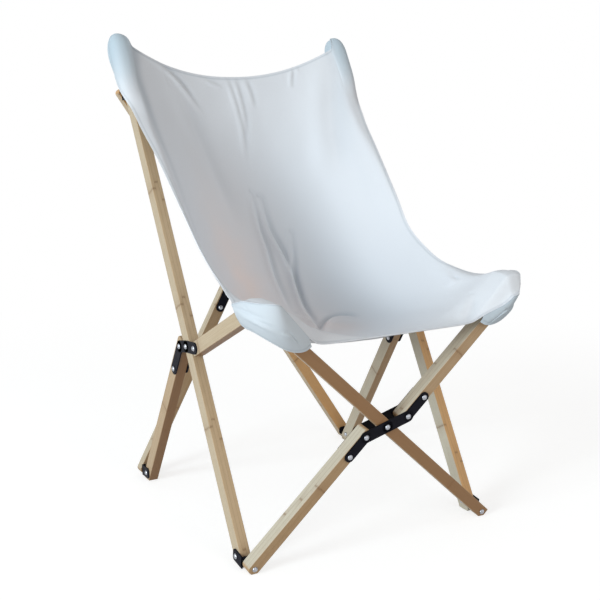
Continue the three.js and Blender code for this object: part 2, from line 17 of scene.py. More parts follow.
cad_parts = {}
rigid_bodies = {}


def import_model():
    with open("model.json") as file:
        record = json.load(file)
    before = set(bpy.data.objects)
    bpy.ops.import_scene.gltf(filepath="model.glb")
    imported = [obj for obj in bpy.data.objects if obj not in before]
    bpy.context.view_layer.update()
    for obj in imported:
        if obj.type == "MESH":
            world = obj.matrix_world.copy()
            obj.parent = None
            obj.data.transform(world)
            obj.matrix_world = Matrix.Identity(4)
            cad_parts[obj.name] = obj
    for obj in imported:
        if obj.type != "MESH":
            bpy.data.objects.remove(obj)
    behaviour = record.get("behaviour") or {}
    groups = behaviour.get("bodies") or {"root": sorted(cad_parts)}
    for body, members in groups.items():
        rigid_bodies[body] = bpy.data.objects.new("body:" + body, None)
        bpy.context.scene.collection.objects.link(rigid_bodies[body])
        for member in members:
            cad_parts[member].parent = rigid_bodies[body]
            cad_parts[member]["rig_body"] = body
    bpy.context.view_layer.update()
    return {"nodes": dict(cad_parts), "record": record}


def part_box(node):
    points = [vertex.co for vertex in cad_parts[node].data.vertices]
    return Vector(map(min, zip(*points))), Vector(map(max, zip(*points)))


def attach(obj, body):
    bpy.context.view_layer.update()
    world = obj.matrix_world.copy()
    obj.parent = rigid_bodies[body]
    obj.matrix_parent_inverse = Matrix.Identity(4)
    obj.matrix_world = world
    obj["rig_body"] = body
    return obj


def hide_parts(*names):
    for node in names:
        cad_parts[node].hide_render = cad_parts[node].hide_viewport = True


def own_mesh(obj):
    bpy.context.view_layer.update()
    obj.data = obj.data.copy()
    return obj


bl_info = {
    "name": "Butterfly Sling Chair",
    "version": (1, 0, 0),
    "blender": (4, 5, 0),
    "location": "3D View > Sidebar > Sling Chair",
    "description": "Dresses the packed folding chair: bars, steel, canvas and stage",
    "category": "Add Mesh",
}

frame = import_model()
NODES = frame["nodes"]
SIDES = (("left", -1), ("right", 1))
MM = 0.001
SHIFT = Vector((0, -21.912, 0))  # from the drawing's origin to the part's
TINY = 1e-3

# Side frames and crosses, as the part has them
HALF_WIDTH = 245.0
BAR_DEPTH = 20.0
PIVOT = (5.14, 345.64)
LONG_ANGLE, LONG_FACE = 58.77, 28.0
LONG_FOOT, LONG_UPPER, LONG_TIP = -386.0, 523.4, 636.65
LEG_ANGLE, LEG_FACE, LEG_OFFSET = 58.7, 27.3, 28.33
LEG_START, LEG_FOOT = 9.5, 402.5
RAIL_PIN, RAIL_RISE, RAIL_FACE, RAIL_LENGTH = (-30.6, 350.35), 27.15, 26.5, 247.8
OVERRUN, BAR_END = 24.0, 14.0
CROSS_FOOT_END, CROSS_HALF_START = 11.0, 25.0
END_ROUND, TIP_ROUND, FOOT_ROUND, CROSS_FOOT_ROUND, SQUARE_ROUND = 7.0, 10.0, 13.0, 9.0, 1.5
ROUND_STEPS, EASE_STEPS, SHARP = 10, 3, math.radians(30)
# each bar's piece of the grain: metres along, metres across, and plies on
GRAIN_STEP, PLY_FILL = (3.7, 0.31, 13), 0.98


def smooth(x, low=0.0, high=1.0):
    """Smoothstep of a number or an array."""
    t = np.clip((np.asarray(x, float) - low) / (high - low), 0, 1)
    return t * t * (3 - 2 * t)


def hill(x, middle, width):
    """A bell that is 1 at its middle."""
    return np.exp(-(((x - middle) / width) ** 2))


def turned(deg):
    return math.cos(math.radians(deg)), math.sin(math.radians(deg))


def ahead(base, turn, distance, aside=0.0):
    """The place at a distance along a direction, and aside to its left."""
    c, s = turn
    return base[0] + c * distance - s * aside, base[1] + s * distance + c * aside


def matrix_of(x, y, z, origin):
    """Matrix of a frame from its axes and its origin."""
    m = Matrix((x, y, z)).transposed().to_4x4()
    m.translation = origin
    return m


def side_frame(sign, place, deg):
    """Matrix of a side bar: along it, across its face, through it."""
    c, s = turned(deg)
    return matrix_of((0, c, s), (0, -s, c), (1, 0, 0), (sign * HALF_WIDTH, *place))


LONG, LEG, RAIL = turned(LONG_ANGLE), turned(-LEG_ANGLE), turned(180 - RAIL_RISE)
LEG_BASE = ahead(PIVOT, LEG, 0, LEG_OFFSET)
FRONT_FOOT = ahead(PIVOT, LONG, LONG_FOOT)
REAR_TOP = ahead(PIVOT, LONG, LONG_UPPER)
REAR_FOOT = ahead(LEG_BASE, LEG, LEG_FOOT)
RAIL_TIP = ahead(RAIL_PIN, RAIL, RAIL_LENGTH)

# label: foot, head, offset of the plane, face, depth, plate offset, pin out
CROSSES = {
    "front": (FRONT_FOOT, RAIL_TIP, 37.0, 22.0, 25.0, 21.76, 0.0),
    "rear": (REAR_FOOT, REAR_TOP, -36.0, 24.3, 21.0, 24.6, 3.0),
}

# Shares of brown, honey and pale colour, partly each bar's own colour and partly painted light and shade:
# sides are made paler to look more brightly lit, and browner where they face away from the light; on a
# bar's broad sides, then on its edges
TONES_AND_LIGHT = {
    "front_bar_whole": ((0.95, 0.3, 0), (0.4, 0, 0.2)),
    "front_bar_lower": ((0.32, 0.3, 0), (0, 0, 1)),
    "front_bar_upper": ((0.26, 0.3, 0), (0, 0.2, 0.8)),
    "rear_bar_whole": ((0.05, 1, 0), (0, 0.2, 0.3)),
    "rear_bar_lower": ((0.45, 0, 0), (0, 0, 0.5)),
    "rear_bar_upper": ((0.15, 0.7, 0), (0, 0, 0.4)),
    "long_bar_left": ((0, 0, 0.25), (0, 0.2, 0)),
    "long_bar_right": ((0, 0, 1), (0, 1, 0)),
    "leg_left": ((0.25, 0.1, 0), (1, 0, 0)),
    "leg_right": ((0, 0.15, 1), (0.5, 0.2, 0)),
    "seat_rail_left": ((0, 0, 0.1), (1, 0, 0)),
    "seat_rail_right": ((0.1, 0.2, 0), (0.3, 0.1, 0)),
}

# Sheet steel, its brackets and the bolts
SHEET, GAP, TAB_HALF, TAB_SHORT, TAB_INNER = 2.5, 0.3, 11.0, 6.5, 13.0
SIDE_ARM, CROSS_ARM, CRANK_EXTRA = 11.0, {"front": 9.5, "back": 8.5}, 1.5
END_SHARE, TAB_STEPS, WELD = 0.96, 8, 1e-4
CROSS_BOLTS = (38.5, 82.5)
LEG_BOLTS = tuple(ahead(PIVOT, LEG, far, 23.5) for far in (22.4, 82.3))
# label: gap between a top bracket and the cross bar, and the tab's reach above the pin
TOPS = {"front": (6.4, TAB_HALF), "rear": (2.2, TAB_SHORT)}
HEAD_RISE, SHANK = 3.2, 3.0
# a bolt head's outline: shares of its radius and of its rise
DOME = ((0.0, 1.0), (0.45, 0.92), (0.8, 0.62), (1.0, 0.2), (1.0, 0.0))

# Sewing and folding
STITCH, STITCH_INSET = (1.5, 0.35, 0.35), 1.5


def cross_plane(foot, head):
    """Unit vectors up along a cross and out of its plane."""
    tilt = math.atan2(head[0] - foot[0], head[1] - foot[1])
    c, s = math.cos(tilt), math.sin(tilt)
    return Vector((0, s, c)), Vector((0, -c, s))


def cross_parts(label):
    """Frames and reaches of a cross: whole bar, cranked bar, whole reach, far end, normal."""
    foot, head, offset, _face, _depth, plate, pin = CROSSES[label]
    up, normal = cross_plane(foot, head)
    height = math.hypot(head[0] - foot[0], head[1] - foot[1])
    middle = Vector((0, *foot)) + up * height / 2 + normal * offset
    half = HALF_WIDTH + pin
    reach = math.hypot(half, height / 2)
    angle = math.degrees(math.atan2(height / 2, half))
    frames = []
    for deg in (180 - angle, angle + math.degrees(math.asin(plate / reach))):
        c, s = turned(deg)
        side = Vector((1, 0, 0))
        frames.append(matrix_of(side * c + up * s, up * c - side * s, normal, middle))
    return *frames, reach, math.sqrt(reach**2 - plate**2), normal


def object_of(name, bm, material):
    """Makes an object of a bmesh that is in millimetres in the drawing's place."""
    place = Matrix.Scale(MM, 4) @ Matrix.Translation(SHIFT)
    bmesh.ops.transform(bm, matrix=place, verts=bm.verts)
    for f in bm.faces:
        f.smooth = True
    mesh = bpy.data.meshes.new(name)
    bm.to_mesh(mesh)
    bm.free()
    obj = bpy.data.objects.new(name, mesh)
    bpy.context.scene.collection.objects.link(obj)
    obj.data.materials.append(material)
    return obj


def take_over(obj, node):
    """The piece stands for a node and rides on its body."""
    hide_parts(node)
    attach(obj, NODES[node]["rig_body"])
    for m in frame["record"].get("materials", []):
        slot = m.get("slot")
        if slot and node in m.get("nodes", []):
            break


def hard_object(name, bm, material):
    """An object whose big flat faces stay flat between their eased edges."""
    obj = object_of(name, bm, material)
    m = obj.modifiers.new("Weighted Normal", "WEIGHTED_NORMAL")
    m.weight, m.keep_sharp = 100, True
    return obj


def hard_piece(prefix, node, bm, make):
    """A hard object that stands for a node."""
    take_over(hard_object(prefix + node, bm, shared(make)), node)


def box(bm, size, place=(0, 0, 0)):
    """Adds a box to a bmesh and gives its vertices."""
    matrix = Matrix.Translation(place) @ Matrix.Diagonal((*size, 1))
    return bmesh.ops.create_cube(bm, size=1.0, matrix=matrix)["verts"]


def round_edges(bm, edges, radius, segments):
    bmesh.ops.bevel(bm, geom=edges, offset=radius, offset_type="OFFSET", segments=segments,
                    profile=0.5, affect="EDGES", material=-1)


# Settings


def color_setting(name, description, default):
    return FloatVectorProperty(
        name=name, description=description, subtype="COLOR", size=3, min=0, max=1, default=default)


def length_setting(name, description, low, high, default):
    return FloatProperty(
        name=name, description=description, subtype="DISTANCE", min=low, max=high, default=default)


def share_setting(name, description, default, high=1):
    return FloatProperty(name=name, description=description, min=0, max=high, default=default)


def count_setting(name, description, low, high, default):
    return IntProperty(name=name, description=description, min=low, max=high, default=default)


def lamp_setting(name, description, default):
    return FloatProperty(
        name=name, description=description, unit="POWER", min=0, max=500, default=default)


class WoodSettings(PropertyGroup):
    pale: color_setting("Pale culm", "Lightest bamboo", (0.60, 0.49, 0.345))
    tan: color_setting("Tan culm", "Darker bamboo", (0.46, 0.33, 0.185))
    # Each bar's shares mix in the next three colours: the brown partly for browner culms and partly as
    # painted shade, the honey partly for honey-coloured culm and partly as painted light, the pale side
    # colour as painted light that makes sides look more brightly lit
    brown: color_setting("Brown bar", "Bars cut from browner culms", (0.26, 0.12, 0.042))
    honey: color_setting("Honey side", "Sides where the culm is honey-coloured", (0.71, 0.40, 0.165))
    bleached: color_setting("Bleached side", "Sides where the culm is nearly white", (0.63, 0.60, 0.50))
    mark: color_setting("Node mark", "Brown mark where a culm has its node", (0.20, 0.11, 0.05))
    plies: count_setting("Plies", "Layers through a bar's depth", 1, 8, 3)
    node_pitch: length_setting("Node pitch", "Between the node marks of a ply", 0.05, 1, 0.235)
    ease: length_setting("Eased edge", "Radius of the bars' edges", 0.0002, 0.004, 0.0012)
    gloss: share_setting("Roughness", "Roughness of the oiled surface", 0.46)


class SteelSettings(PropertyGroup):
    coat: color_setting("Black coat", "Powder coat of plates and brackets", (0.006, 0.006, 0.010))
    worn: color_setting("Worn coat", "Paler haze on the powder coat", (0.012, 0.012, 0.018))
    zinc: color_setting("Zinc", "Plated bolts", (0.46, 0.48, 0.52))
    dull: color_setting("Dull zinc", "Duller spots of the plating", (0.26, 0.27, 0.30))
    head: length_setting("Bolt head radius", "Outer radius of a domed head", 0.003, 0.01, 0.005)
    head_sides: count_setting("Head sides", "Faces round a bolt head", 12, 64, 32)
    corner: length_setting("Bracket corner", "Radius of the tabs' corners", 0.001, 0.01, 0.006)


class ClothSettings(PropertyGroup):
    base: color_setting("Canvas", "Off-white cotton", (0.79, 0.82, 0.87))
    # painted warm light, reflected into the sling low down
    warm: color_setting("Canvas, warm", "Warmer patches low in the sling", (0.96, 0.80, 0.74))
    # painted shade on the ears and bags, where two layers lie together
    lined: color_setting("Canvas, lined", "Where two layers lie together", (0.52, 0.63, 0.71))
    # painted shade, mixed in along the creases, the hem seams and the folds' troughs and low in the seat,
    # where shade falls
    shade: color_setting("Canvas, greyed", "Along creases and seams, and low in the seat",
                         (0.36, 0.42, 0.48))
    slub: color_setting("Slub", "Thicker, greyer threads in the weave", (0.60, 0.61, 0.64))
    thread: color_setting("Thread", "Sewing thread", (0.74, 0.76, 0.79))
    thick: length_setting("Canvas thickness", "One layer of canvas", 0.0005, 0.004, 0.0014)
    hem: length_setting("Hem width", "Width of the sewn hems", 0.003, 0.03, 0.005)
    stitch: length_setting("Stitch pitch", "From one stitch to the next", 0.003, 0.02, 0.0045)
    rows: count_setting("Rows", "Rows of faces from the top hem to the front hem", 50, 500, 330)
    columns: count_setting("Columns", "Columns of faces from edge to edge", 40, 300, 200)


class StageSettings(PropertyGroup):
    floor: color_setting("Floor", "Colour of the floor", (0.45, 0.45, 0.45))
    lift: share_setting("Floor lift", "Light added to the floor as the camera sees it", 0.70)
    sky: share_setting("Soft light", "Strength of the light from all round", 0.445, 2)
    key: lamp_setting("Key lamp", "Power of the large soft lamp", 228)
    fill: lamp_setting("Fill lamp", "Power of the fill lamp", 15)
    low: lamp_setting("Low lamp", "Power of the lamp that lights under the seat", 11)


# Materials


class Nodes:
    """A node tree, with short calls for the nodes that the materials share."""

    def __init__(self, tree):
        self.tree = tree

    def plug(self, n, inputs):
        """Gives a node's inputs their values or links, by name or number."""
        for key, value in inputs.items():
            if isinstance(value, bpy.types.Node):
                value = value.outputs[0]
            if isinstance(value, bpy.types.NodeSocket):
                self.tree.links.new(value, n.inputs[key])
            else:
                n.inputs[key].default_value = value
        return n

    def add(self, kind, inputs=None, **settings):
        """Adds a shader node with its settings and inputs."""
        n = self.tree.nodes.new("ShaderNode" + kind)
        for key, value in settings.items():
            setattr(n, key, value)
        return self.plug(n, inputs or {})

    def math(self, op, *values):
        return self.add("Math", dict(enumerate(values)), operation=op).outputs[0]

    def times(self, a, b):
        return self.math("MULTIPLY", a, b)

    def plus(self, a, b):
        return self.math("ADD", a, b)

    def from_middle(self, value):
        """How far a value lies from a half."""
        return self.math("ABSOLUTE", self.math("SUBTRACT", value, 0.5))

    def mix(self, factor, *colors):
        """Mixes two colours, each a socket or a setting."""
        a, b = (c if isinstance(c, bpy.types.NodeSocket) else (*c[:3], 1.0) for c in colors)
        return self.add("Mix", {0: factor, 6: a, 7: b}, data_type="RGBA").outputs[2]

    def ramp(self, value, *stops):
        n = self.add("ValToRGB", {0: value})
        elements = n.color_ramp.elements
        while len(elements) < len(stops):
            elements.new(0.5)
        for e, (place, level) in zip(elements, stops):
            e.position = place
            e.color = (level, level, level, 1)
        return n.outputs[0]

    def stretched(self, vector, factors):
        return self.add("VectorMath", {0: vector, 1: factors}, operation="MULTIPLY").outputs[0]

    def noise(self, vector, detail, scale=5.0, roughness=0.5):
        inputs = {"Vector": vector, "Scale": scale, "Detail": detail, "Roughness": roughness}
        return self.add("TexNoise", inputs).outputs[0]

    def split(self, vector):
        return self.add("SeparateXYZ", {0: vector}).outputs

    def attribute(self, name):
        return self.add("Attribute", attribute_name=name).outputs["Vector"]

    def place(self):
        return self.add("TexCoord").outputs["Object"]

    def bump(self, strength, distance, height):
        return self.add("Bump", {"Strength": strength, "Distance": distance, "Height": height})

    def seen(self):
        """1 where the camera sees a surface, also in a reflection or through glass."""
        path = self.add("LightPath").outputs
        both = self.math("MAXIMUM", path["Is Camera Ray"], path["Is Glossy Ray"])
        return self.math("MAXIMUM", both, path["Is Transmission Ray"])

    def wear(self, place, size):
        """Soft clouds and fine grit on a surface, by place and by cloud size in metres."""
        group = bpy.data.node_groups.get("surface_wear") or wear_group()
        return self.add("Group", {"Place": place, "Size": size}, node_tree=group).outputs


def wear_group():
    """The node group behind every material's wear, made once."""
    group = bpy.data.node_groups.new("surface_wear", "ShaderNodeTree")
    for label, way, kind in (("Place", "INPUT", "Vector"), ("Size", "INPUT", "Float"),
                             ("Cloud", "OUTPUT", "Float"), ("Grit", "OUTPUT", "Float")):
        group.interface.new_socket(name=label, in_out=way, socket_type="NodeSocket" + kind)
    nodes = Nodes(group)
    given = group.nodes.new("NodeGroupInput").outputs
    density = nodes.math("DIVIDE", 1.0, given["Size"])
    cloud = nodes.noise(given["Place"], 4.0, density)
    grit = nodes.noise(given["Place"], 2.0, nodes.times(density, 14.0))
    sink = group.nodes.new("NodeGroupOutput")
    nodes.plug(sink, {"Cloud": nodes.ramp(cloud, (0.35, 0), (0.72, 1)), "Grit": grit})
    return group


def new_material(name):
    material = bpy.data.materials.new(name)
    material.use_nodes = True
    material.node_tree.nodes.clear()
    nodes = Nodes(material.node_tree)
    shader = nodes.add("BsdfPrincipled")
    out = nodes.add("OutputMaterial", {0: shader})
    return material, nodes, shader, out


def shared(make):
    """The material that a function makes, made once."""
    return bpy.data.materials.get(make.__name__) or make()


def laminated_bamboo():
    """Its grain holds metres along and across the bar, then the ply's number."""
    w = bpy.context.scene.chair_wood
    material, nodes, shader, _out = new_material("laminated_bamboo")
    grain = nodes.attribute("grain")
    brown, honey, bleached = nodes.split(nodes.attribute("tone"))
    along, _across, ply = nodes.split(grain)
    lane = nodes.add("CombineXYZ", {0: nodes.math("FLOOR", ply)})
    chance = nodes.add("TexWhiteNoise", {"Vector": lane}, noise_dimensions="3D").outputs["Value"]
    fibre = nodes.noise(nodes.stretched(grain, (8.0, 900.0, 6.0)), 4.0, roughness=0.65)
    streak = nodes.noise(nodes.stretched(grain, (1.6, 150.0, 2.2)), 3.0)
    cloud = nodes.wear(nodes.stretched(grain, (0.35, 1.0, 0.01)), 0.035)["Cloud"]
    level = nodes.plus(nodes.times(chance, 0.45), nodes.ramp(streak, (0.3, 0), (0.7, 0.6)))
    color = nodes.mix(level, w.pale, w.tan)
    shaded = nodes.math("SUBTRACT", 1.0, nodes.times(level, 0.35))
    # honey and paler sides by each bar's shares: partly the culm's own colour, partly painted light that
    # makes sides look more brightly lit
    color = nodes.mix(nodes.times(honey, shaded), color, w.honey)
    color = nodes.mix(nodes.times(bleached, shaded), color, w.bleached)
    lines = nodes.times(nodes.ramp(fibre, (0.46, 0), (0.74, 1)), 0.34)
    color = nodes.mix(lines, color, w.brown)
    # node marks, each ply's at its own place
    shifted = nodes.plus(nodes.math("DIVIDE", along, w.node_pitch), chance)
    part = nodes.math("FRACT", nodes.plus(shifted, nodes.times(streak, 0.035)))
    near = nodes.from_middle(part)
    mark = nodes.ramp(near, (0.0, 1), (0.004, 0.8), (0.011, 0.0))
    halo = nodes.ramp(near, (0.0, 1.0), (0.02, 0.5), (0.10, 0.0))
    blotch = nodes.times(halo, nodes.plus(0.12, nodes.times(cloud, 0.3)))
    color = nodes.mix(blotch, color, w.brown)
    faint = nodes.plus(0.25, nodes.times(nodes.ramp(fibre, (0.35, 0), (0.6, 1)), 0.45))
    color = nodes.mix(nodes.times(mark, faint), color, w.mark)
    # glue lines between the plies
    line = nodes.ramp(nodes.from_middle(nodes.math("FRACT", ply)), (0.44, 0), (0.49, 1))
    depth = nodes.math("FRACT", nodes.math("DIVIDE", ply, w.plies))
    inside = nodes.math("COMPARE", depth, 0.5, 0.47)
    color = nodes.mix(nodes.times(nodes.times(line, inside), 0.45), color, w.mark)
    # browner bars, partly the culm's own colour and partly painted shade on faces turned from the light
    color = nodes.mix(brown, color, nodes.mix(0.85, color, w.brown))
    nodes.plug(shader, {
        "Base Color": color, "Roughness": nodes.plus(w.gloss, nodes.times(fibre, 0.14)),
        "Normal": nodes.bump(0.22, 0.0003, fibre), "Specular IOR Level": 0.4})
    return material


def black_powder_coat():
    """With its fine orange peel."""
    s = bpy.context.scene.chair_steel
    material, nodes, shader, _out = new_material("black_powder_coat")
    worn = nodes.wear(nodes.place(), 0.017)
    nodes.plug(shader, {
        "Base Color": nodes.mix(worn["Cloud"], s.coat, s.worn),
        "Roughness": nodes.plus(0.42, nodes.times(worn["Cloud"], 0.2)),
        "Normal": nodes.bump(0.2, 0.0002, worn["Grit"]), "Specular IOR Level": 0.06})
    return material


def zinc_bolt():
    s = bpy.context.scene.chair_steel
    material, nodes, shader, _out = new_material("zinc_bolt")
    worn = nodes.wear(nodes.place(), 0.003)
    nodes.plug(shader, {
        "Base Color": nodes.mix(worn["Cloud"], s.zinc, s.dull),
        "Roughness": nodes.plus(0.24, nodes.times(worn["Grit"], 0.2)), "Metallic": 1.0})
    return material


def cotton_canvas():
    """Plain weave in the cloth's own flat coordinates, in metres."""
    c = bpy.context.scene.chair_cloth
    turns = math.pi / 0.0008  # threads 0.8 mm apart, over and under
    material, nodes, shader, _out = new_material("cotton_canvas")
    flat = nodes.add("UVMap", uv_map="flat").outputs[0]
    u, v, _w = nodes.split(nodes.stretched(flat, (turns, turns, 0.0)))
    weave = nodes.times(nodes.math("SINE", u), nodes.math("SINE", v))
    warp = nodes.noise(nodes.stretched(flat, (1300.0, 45.0, 1.0)), 2.0)
    weft = nodes.noise(nodes.stretched(flat, (45.0, 1300.0, 1.0)), 2.0)
    slub = nodes.math("MAXIMUM", warp, weft)
    cloud = nodes.wear(flat, 0.11)["Cloud"]
    # the tint holds painted warm reflected light, painted shade on the ears and bags where two layers lie
    # together, and painted shade along creases, seams and fold troughs and low in the seat
    warm, lined, shade = nodes.split(nodes.attribute("tint"))
    patchy = nodes.plus(0.45, nodes.times(cloud, 0.55))
    color = nodes.mix(nodes.times(warm, patchy), c.base, c.warm)
    color = nodes.mix(lined, color, c.lined)
    color = nodes.mix(shade, color, c.shade)
    threads = nodes.times(nodes.ramp(slub, (0.5, 0), (0.8, 1)), 0.30)
    height = nodes.plus(nodes.times(weave, 0.5), nodes.times(slub, 0.8))
    nodes.plug(shader, {
        "Base Color": nodes.mix(threads, color, c.slub), "Roughness": 0.86, "Specular IOR Level": 0.2,
        "Sheen Weight": 0.10, "Sheen Roughness": 0.5, "Normal": nodes.bump(0.22, 0.0003, height)})
    return material


def sewing_thread():
    c = bpy.context.scene.chair_cloth
    material, nodes, shader, _out = new_material("sewing_thread")
    twist = nodes.wear(nodes.place(), 0.0012)["Cloud"]
    color = nodes.mix(nodes.times(twist, 0.4), c.thread, c.slub)
    nodes.plug(shader, {"Base Color": color, "Roughness": 0.7})
    return material


# Stage

# Camera: degrees, millimetres in the drawing, then focal length, picture and centre in pixels
YAW, PITCH, EYE = math.radians(-28.876), math.radians(13.486), Vector((-944.45, -1651.7, 821.8))
FOCAL, PICTURE, CENTRE, SENSOR = 1007.47, 600.0, (294.43, 320.78), 36.0
# name: place, aim, size, colour
LAMPS = {
    "key": ((-5.6, -1.4, 2.4), (0, 0, 0.5), 2.4, (0.84, 0.95, 1)),
    "fill": ((0.6, -3.0, 1.2), (0, 0, 0.4), 1.8, (1, 0.95, 0.88)),
    "low": ((-2.7, -1.5, 0.22), (0, 0, 0.2), 0.8, (1, 0.97, 0.92)),
}
WHITE = (1, 1, 1, 1)
SKY_COLOR, WORN_FLOOR = (1.0, 0.985, 0.965, 1), (0.75, 0.75, 0.75)
FLOOR_RADIUS, FADE_START, FADE_END = 12000.0, 0.65, 1.9


class CHAIR_OT_stage(Operator):
    """Sets the camera, the lamps, the world and the pale floor"""

    bl_idname = "chair.stage"
    bl_label = "Stage"

    def execute(self, context):
        self.camera(context.scene)
        self.world(context.scene)
        settings = context.scene.chair_stage
        for name, (place, aim, size, color) in LAMPS.items():
            data = bpy.data.lights.new(name + "_lamp", "AREA")
            data.shape, data.size, data.energy, data.color = "DISK", size, getattr(settings, name), color
            lamp = bpy.data.objects.new(name + "_lamp", data)
            context.scene.collection.objects.link(lamp)
            lamp.location = place
            lamp.rotation_mode = "QUATERNION"
            lamp.rotation_quaternion = (Vector(aim) - Vector(place)).to_track_quat("-Z", "Y")
        self.floor(settings)
        return {"FINISHED"}

    def camera(self, scene):
        level = math.cos(PITCH)
        forward = Vector((-math.sin(YAW) * level, math.cos(YAW) * level, -math.sin(PITCH)))
        right = Vector((math.cos(YAW), math.sin(YAW), 0))
        camera = bpy.data.objects.new("camera", bpy.data.cameras.new("camera"))
        scene.collection.objects.link(camera)
        camera.data.sensor_width = SENSOR
        camera.data.lens = FOCAL / PICTURE * SENSOR
        camera.data.shift_x = (PICTURE / 2 - CENTRE[0]) / PICTURE
        camera.data.shift_y = (CENTRE[1] - PICTURE / 2) / PICTURE
        camera.matrix_world = matrix_of(right, right.cross(forward), -forward, (EYE + SHIFT) * MM)
        camera.data.clip_start, camera.data.clip_end = 0.05, 100
        scene.camera = camera
        scene.view_settings.view_transform = "Standard"

    def world(self, scene):
        scene.world = bpy.data.worlds.new("studio")
        scene.world.use_nodes = True
        scene.world.node_tree.nodes.clear()
        nodes = Nodes(scene.world.node_tree)
        soft = nodes.add("Background", {"Color": SKY_COLOR, "Strength": scene.chair_stage.sky})
        white = nodes.add("Background", {"Color": WHITE, "Strength": 1.0})
        both = nodes.add("MixShader", {0: nodes.seen(), 1: soft, 2: white})
        nodes.add("OutputWorld", {0: both})

    def floor(self, settings):
        """A pale floor that keeps the shadow near the chair and fades into the white backdrop."""
        bm = bmesh.new()
        bmesh.ops.create_circle(bm, cap_ends=True, segments=96, radius=FLOOR_RADIUS)
        material, nodes, shader, out = new_material("pale_floor")
        place = nodes.place()
        worn = nodes.times(nodes.wear(place, 0.35)["Cloud"], 0.03)
        seen = nodes.seen()
        nodes.plug(shader, {
            "Base Color": nodes.mix(worn, settings.floor, WORN_FLOOR), "Roughness": 0.95,
            "Specular IOR Level": 0.1, "Emission Color": WHITE,
            "Emission Strength": nodes.times(seen, settings.lift)})
        away = nodes.add("VectorMath", {0: place}, operation="LENGTH").outputs["Value"]
        far = nodes.add("MapRange", {0: away, 1: FADE_START, 2: FADE_END},
                        interpolation_type="SMOOTHSTEP").outputs[0]
        white = nodes.add("Emission", {"Color": WHITE, "Strength": 1.0})
        both = nodes.add("MixShader", {0: nodes.times(far, seen), 1: shader, 2: white})
        nodes.plug(out, {0: both})
        floor = object_of("floor", bm, material)
        floor.location.z = -0.0002


# Bars


def make_bar(name, matrix, length, face, depth, radii, trim, seed):
    """One bar: rounded ends, floor cut where it stands, eased edges, its grain stored."""
    wood = bpy.context.scene.chair_wood
    ease, plies = wood.ease / MM, wood.plies
    low, high = length
    bm = bmesh.new()
    box(bm, (high - low, face, depth), ((low + high) / 2, 0, 0))
    for (x, side), radius in zip(((low, -1), (high, -1), (high, 1), (low, 1)), radii):
        y = side * face / 2
        corner = [e for e in bm.edges
                  if all(abs(v.co.x - x) < TINY and abs(v.co.y - y) < TINY for v in e.verts)]
        if radius:
            round_edges(bm, corner, radius, ROUND_STEPS)
    bmesh.ops.transform(bm, matrix=matrix, verts=bm.verts)
    if trim:
        cut = bmesh.ops.bisect_plane(
            bm, geom=bm.verts[:] + bm.edges[:] + bm.faces[:], plane_co=(0, 0, 0),
            plane_no=(0, 0, -1), clear_outer=True)
        edges = [e for e in cut["geom_cut"] if isinstance(e, bmesh.types.BMEdge)]
        bmesh.ops.edgeloop_fill(bm, edges=edges)
    sharp = [e for e in bm.edges if e.is_manifold and e.calc_face_angle() > SHARP]
    round_edges(bm, sharp, ease, EASE_STEPS)
    bmesh.ops.recalc_face_normals(bm, faces=bm.faces)
    inverse = matrix.inverted()
    grain = bm.verts.layers.float_vector.new("grain")
    tone = bm.verts.layers.float_vector.new("tone")
    # painted light and shade mixed with the bar's own colour: broad sides and edges take different shares
    broad, edge = (Vector(shares) for shares in TONES_AND_LIGHT[name])
    start, aside, on = GRAIN_STEP
    for v in bm.verts:
        local = inverse @ v.co
        ply = (0.5 + PLY_FILL * local.z / depth) * plies + plies * on * seed
        v[grain] = Vector((local.x * MM + start * seed, local.y * MM + aside * seed, ply))
        past = (abs(local.y) - face / 2) / ease + 1
        side = min(1, max(0, past)) if abs(local.z) < depth / 2 - 0.01 else 0
        v[tone] = broad.lerp(edge, side)
    hard_piece("bamboo_", name, bm, laminated_bamboo)


class CHAIR_OT_side_bars(Operator):
    """Makes the long bars, legs and seat rails of both side frames"""

    bl_idname = "chair.side_bars"
    bl_label = "Side bars"

    def execute(self, context):
        for k, (side, sign) in enumerate(SIDES):
            make_bar("long_bar_" + side, side_frame(sign, PIVOT, LONG_ANGLE),
                     (LONG_FOOT - OVERRUN, LONG_TIP), LONG_FACE, BAR_DEPTH,
                     (0, END_ROUND, END_ROUND, FOOT_ROUND), True, 1 + 7 * k)
            make_bar("leg_" + side, side_frame(sign, LEG_BASE, -LEG_ANGLE),
                     (LEG_START, LEG_FOOT + OVERRUN), LEG_FACE, BAR_DEPTH,
                     (0, END_ROUND, FOOT_ROUND, END_ROUND), True, 2 + 7 * k)
            make_bar("seat_rail_" + side, side_frame(sign, RAIL_PIN, 180 - RAIL_RISE),
                     (-BAR_END, RAIL_LENGTH + BAR_END), RAIL_FACE, BAR_DEPTH,
                     (END_ROUND, TIP_ROUND, TIP_ROUND, END_ROUND), False, 3 + 7 * k)
        return {"FINISHED"}


class CHAIR_OT_cross_bars(Operator):
    """Makes the whole and the cranked bars of the front and rear crosses"""

    bl_idname = "chair.cross_bars"
    bl_label = "Cross bars"

    def execute(self, context):
        for k, label in enumerate(CROSSES):
            _foot, _head, _offset, face, depth, plate, _pin = CROSSES[label]
            whole, crank, reach, far, _normal = cross_parts(label)
            seed = 15 + 3 * k
            make_bar(label + "_bar_whole", whole, (-reach - CROSS_FOOT_END, reach + BAR_END),
                     face, depth, (SQUARE_ROUND, END_ROUND, END_ROUND, SQUARE_ROUND), True, seed)
            halves = (("lower", -1, math.pi, CROSS_FOOT_END, CROSS_FOOT_ROUND),
                      ("upper", 1, 0, BAR_END, END_ROUND))
            for number, (half, sign, turn, end, radius) in enumerate(halves, seed + 1):
                matrix = crank @ Matrix.Translation((0, -sign * plate, 0)) @ Matrix.Rotation(turn, 4, "Z")
                make_bar(label + "_bar_" + half, matrix, (CROSS_HALF_START, far + end), face, depth,
                         (END_ROUND, radius, radius, END_ROUND), True, number)
        return {"FINISHED"}


# Steel and bolts


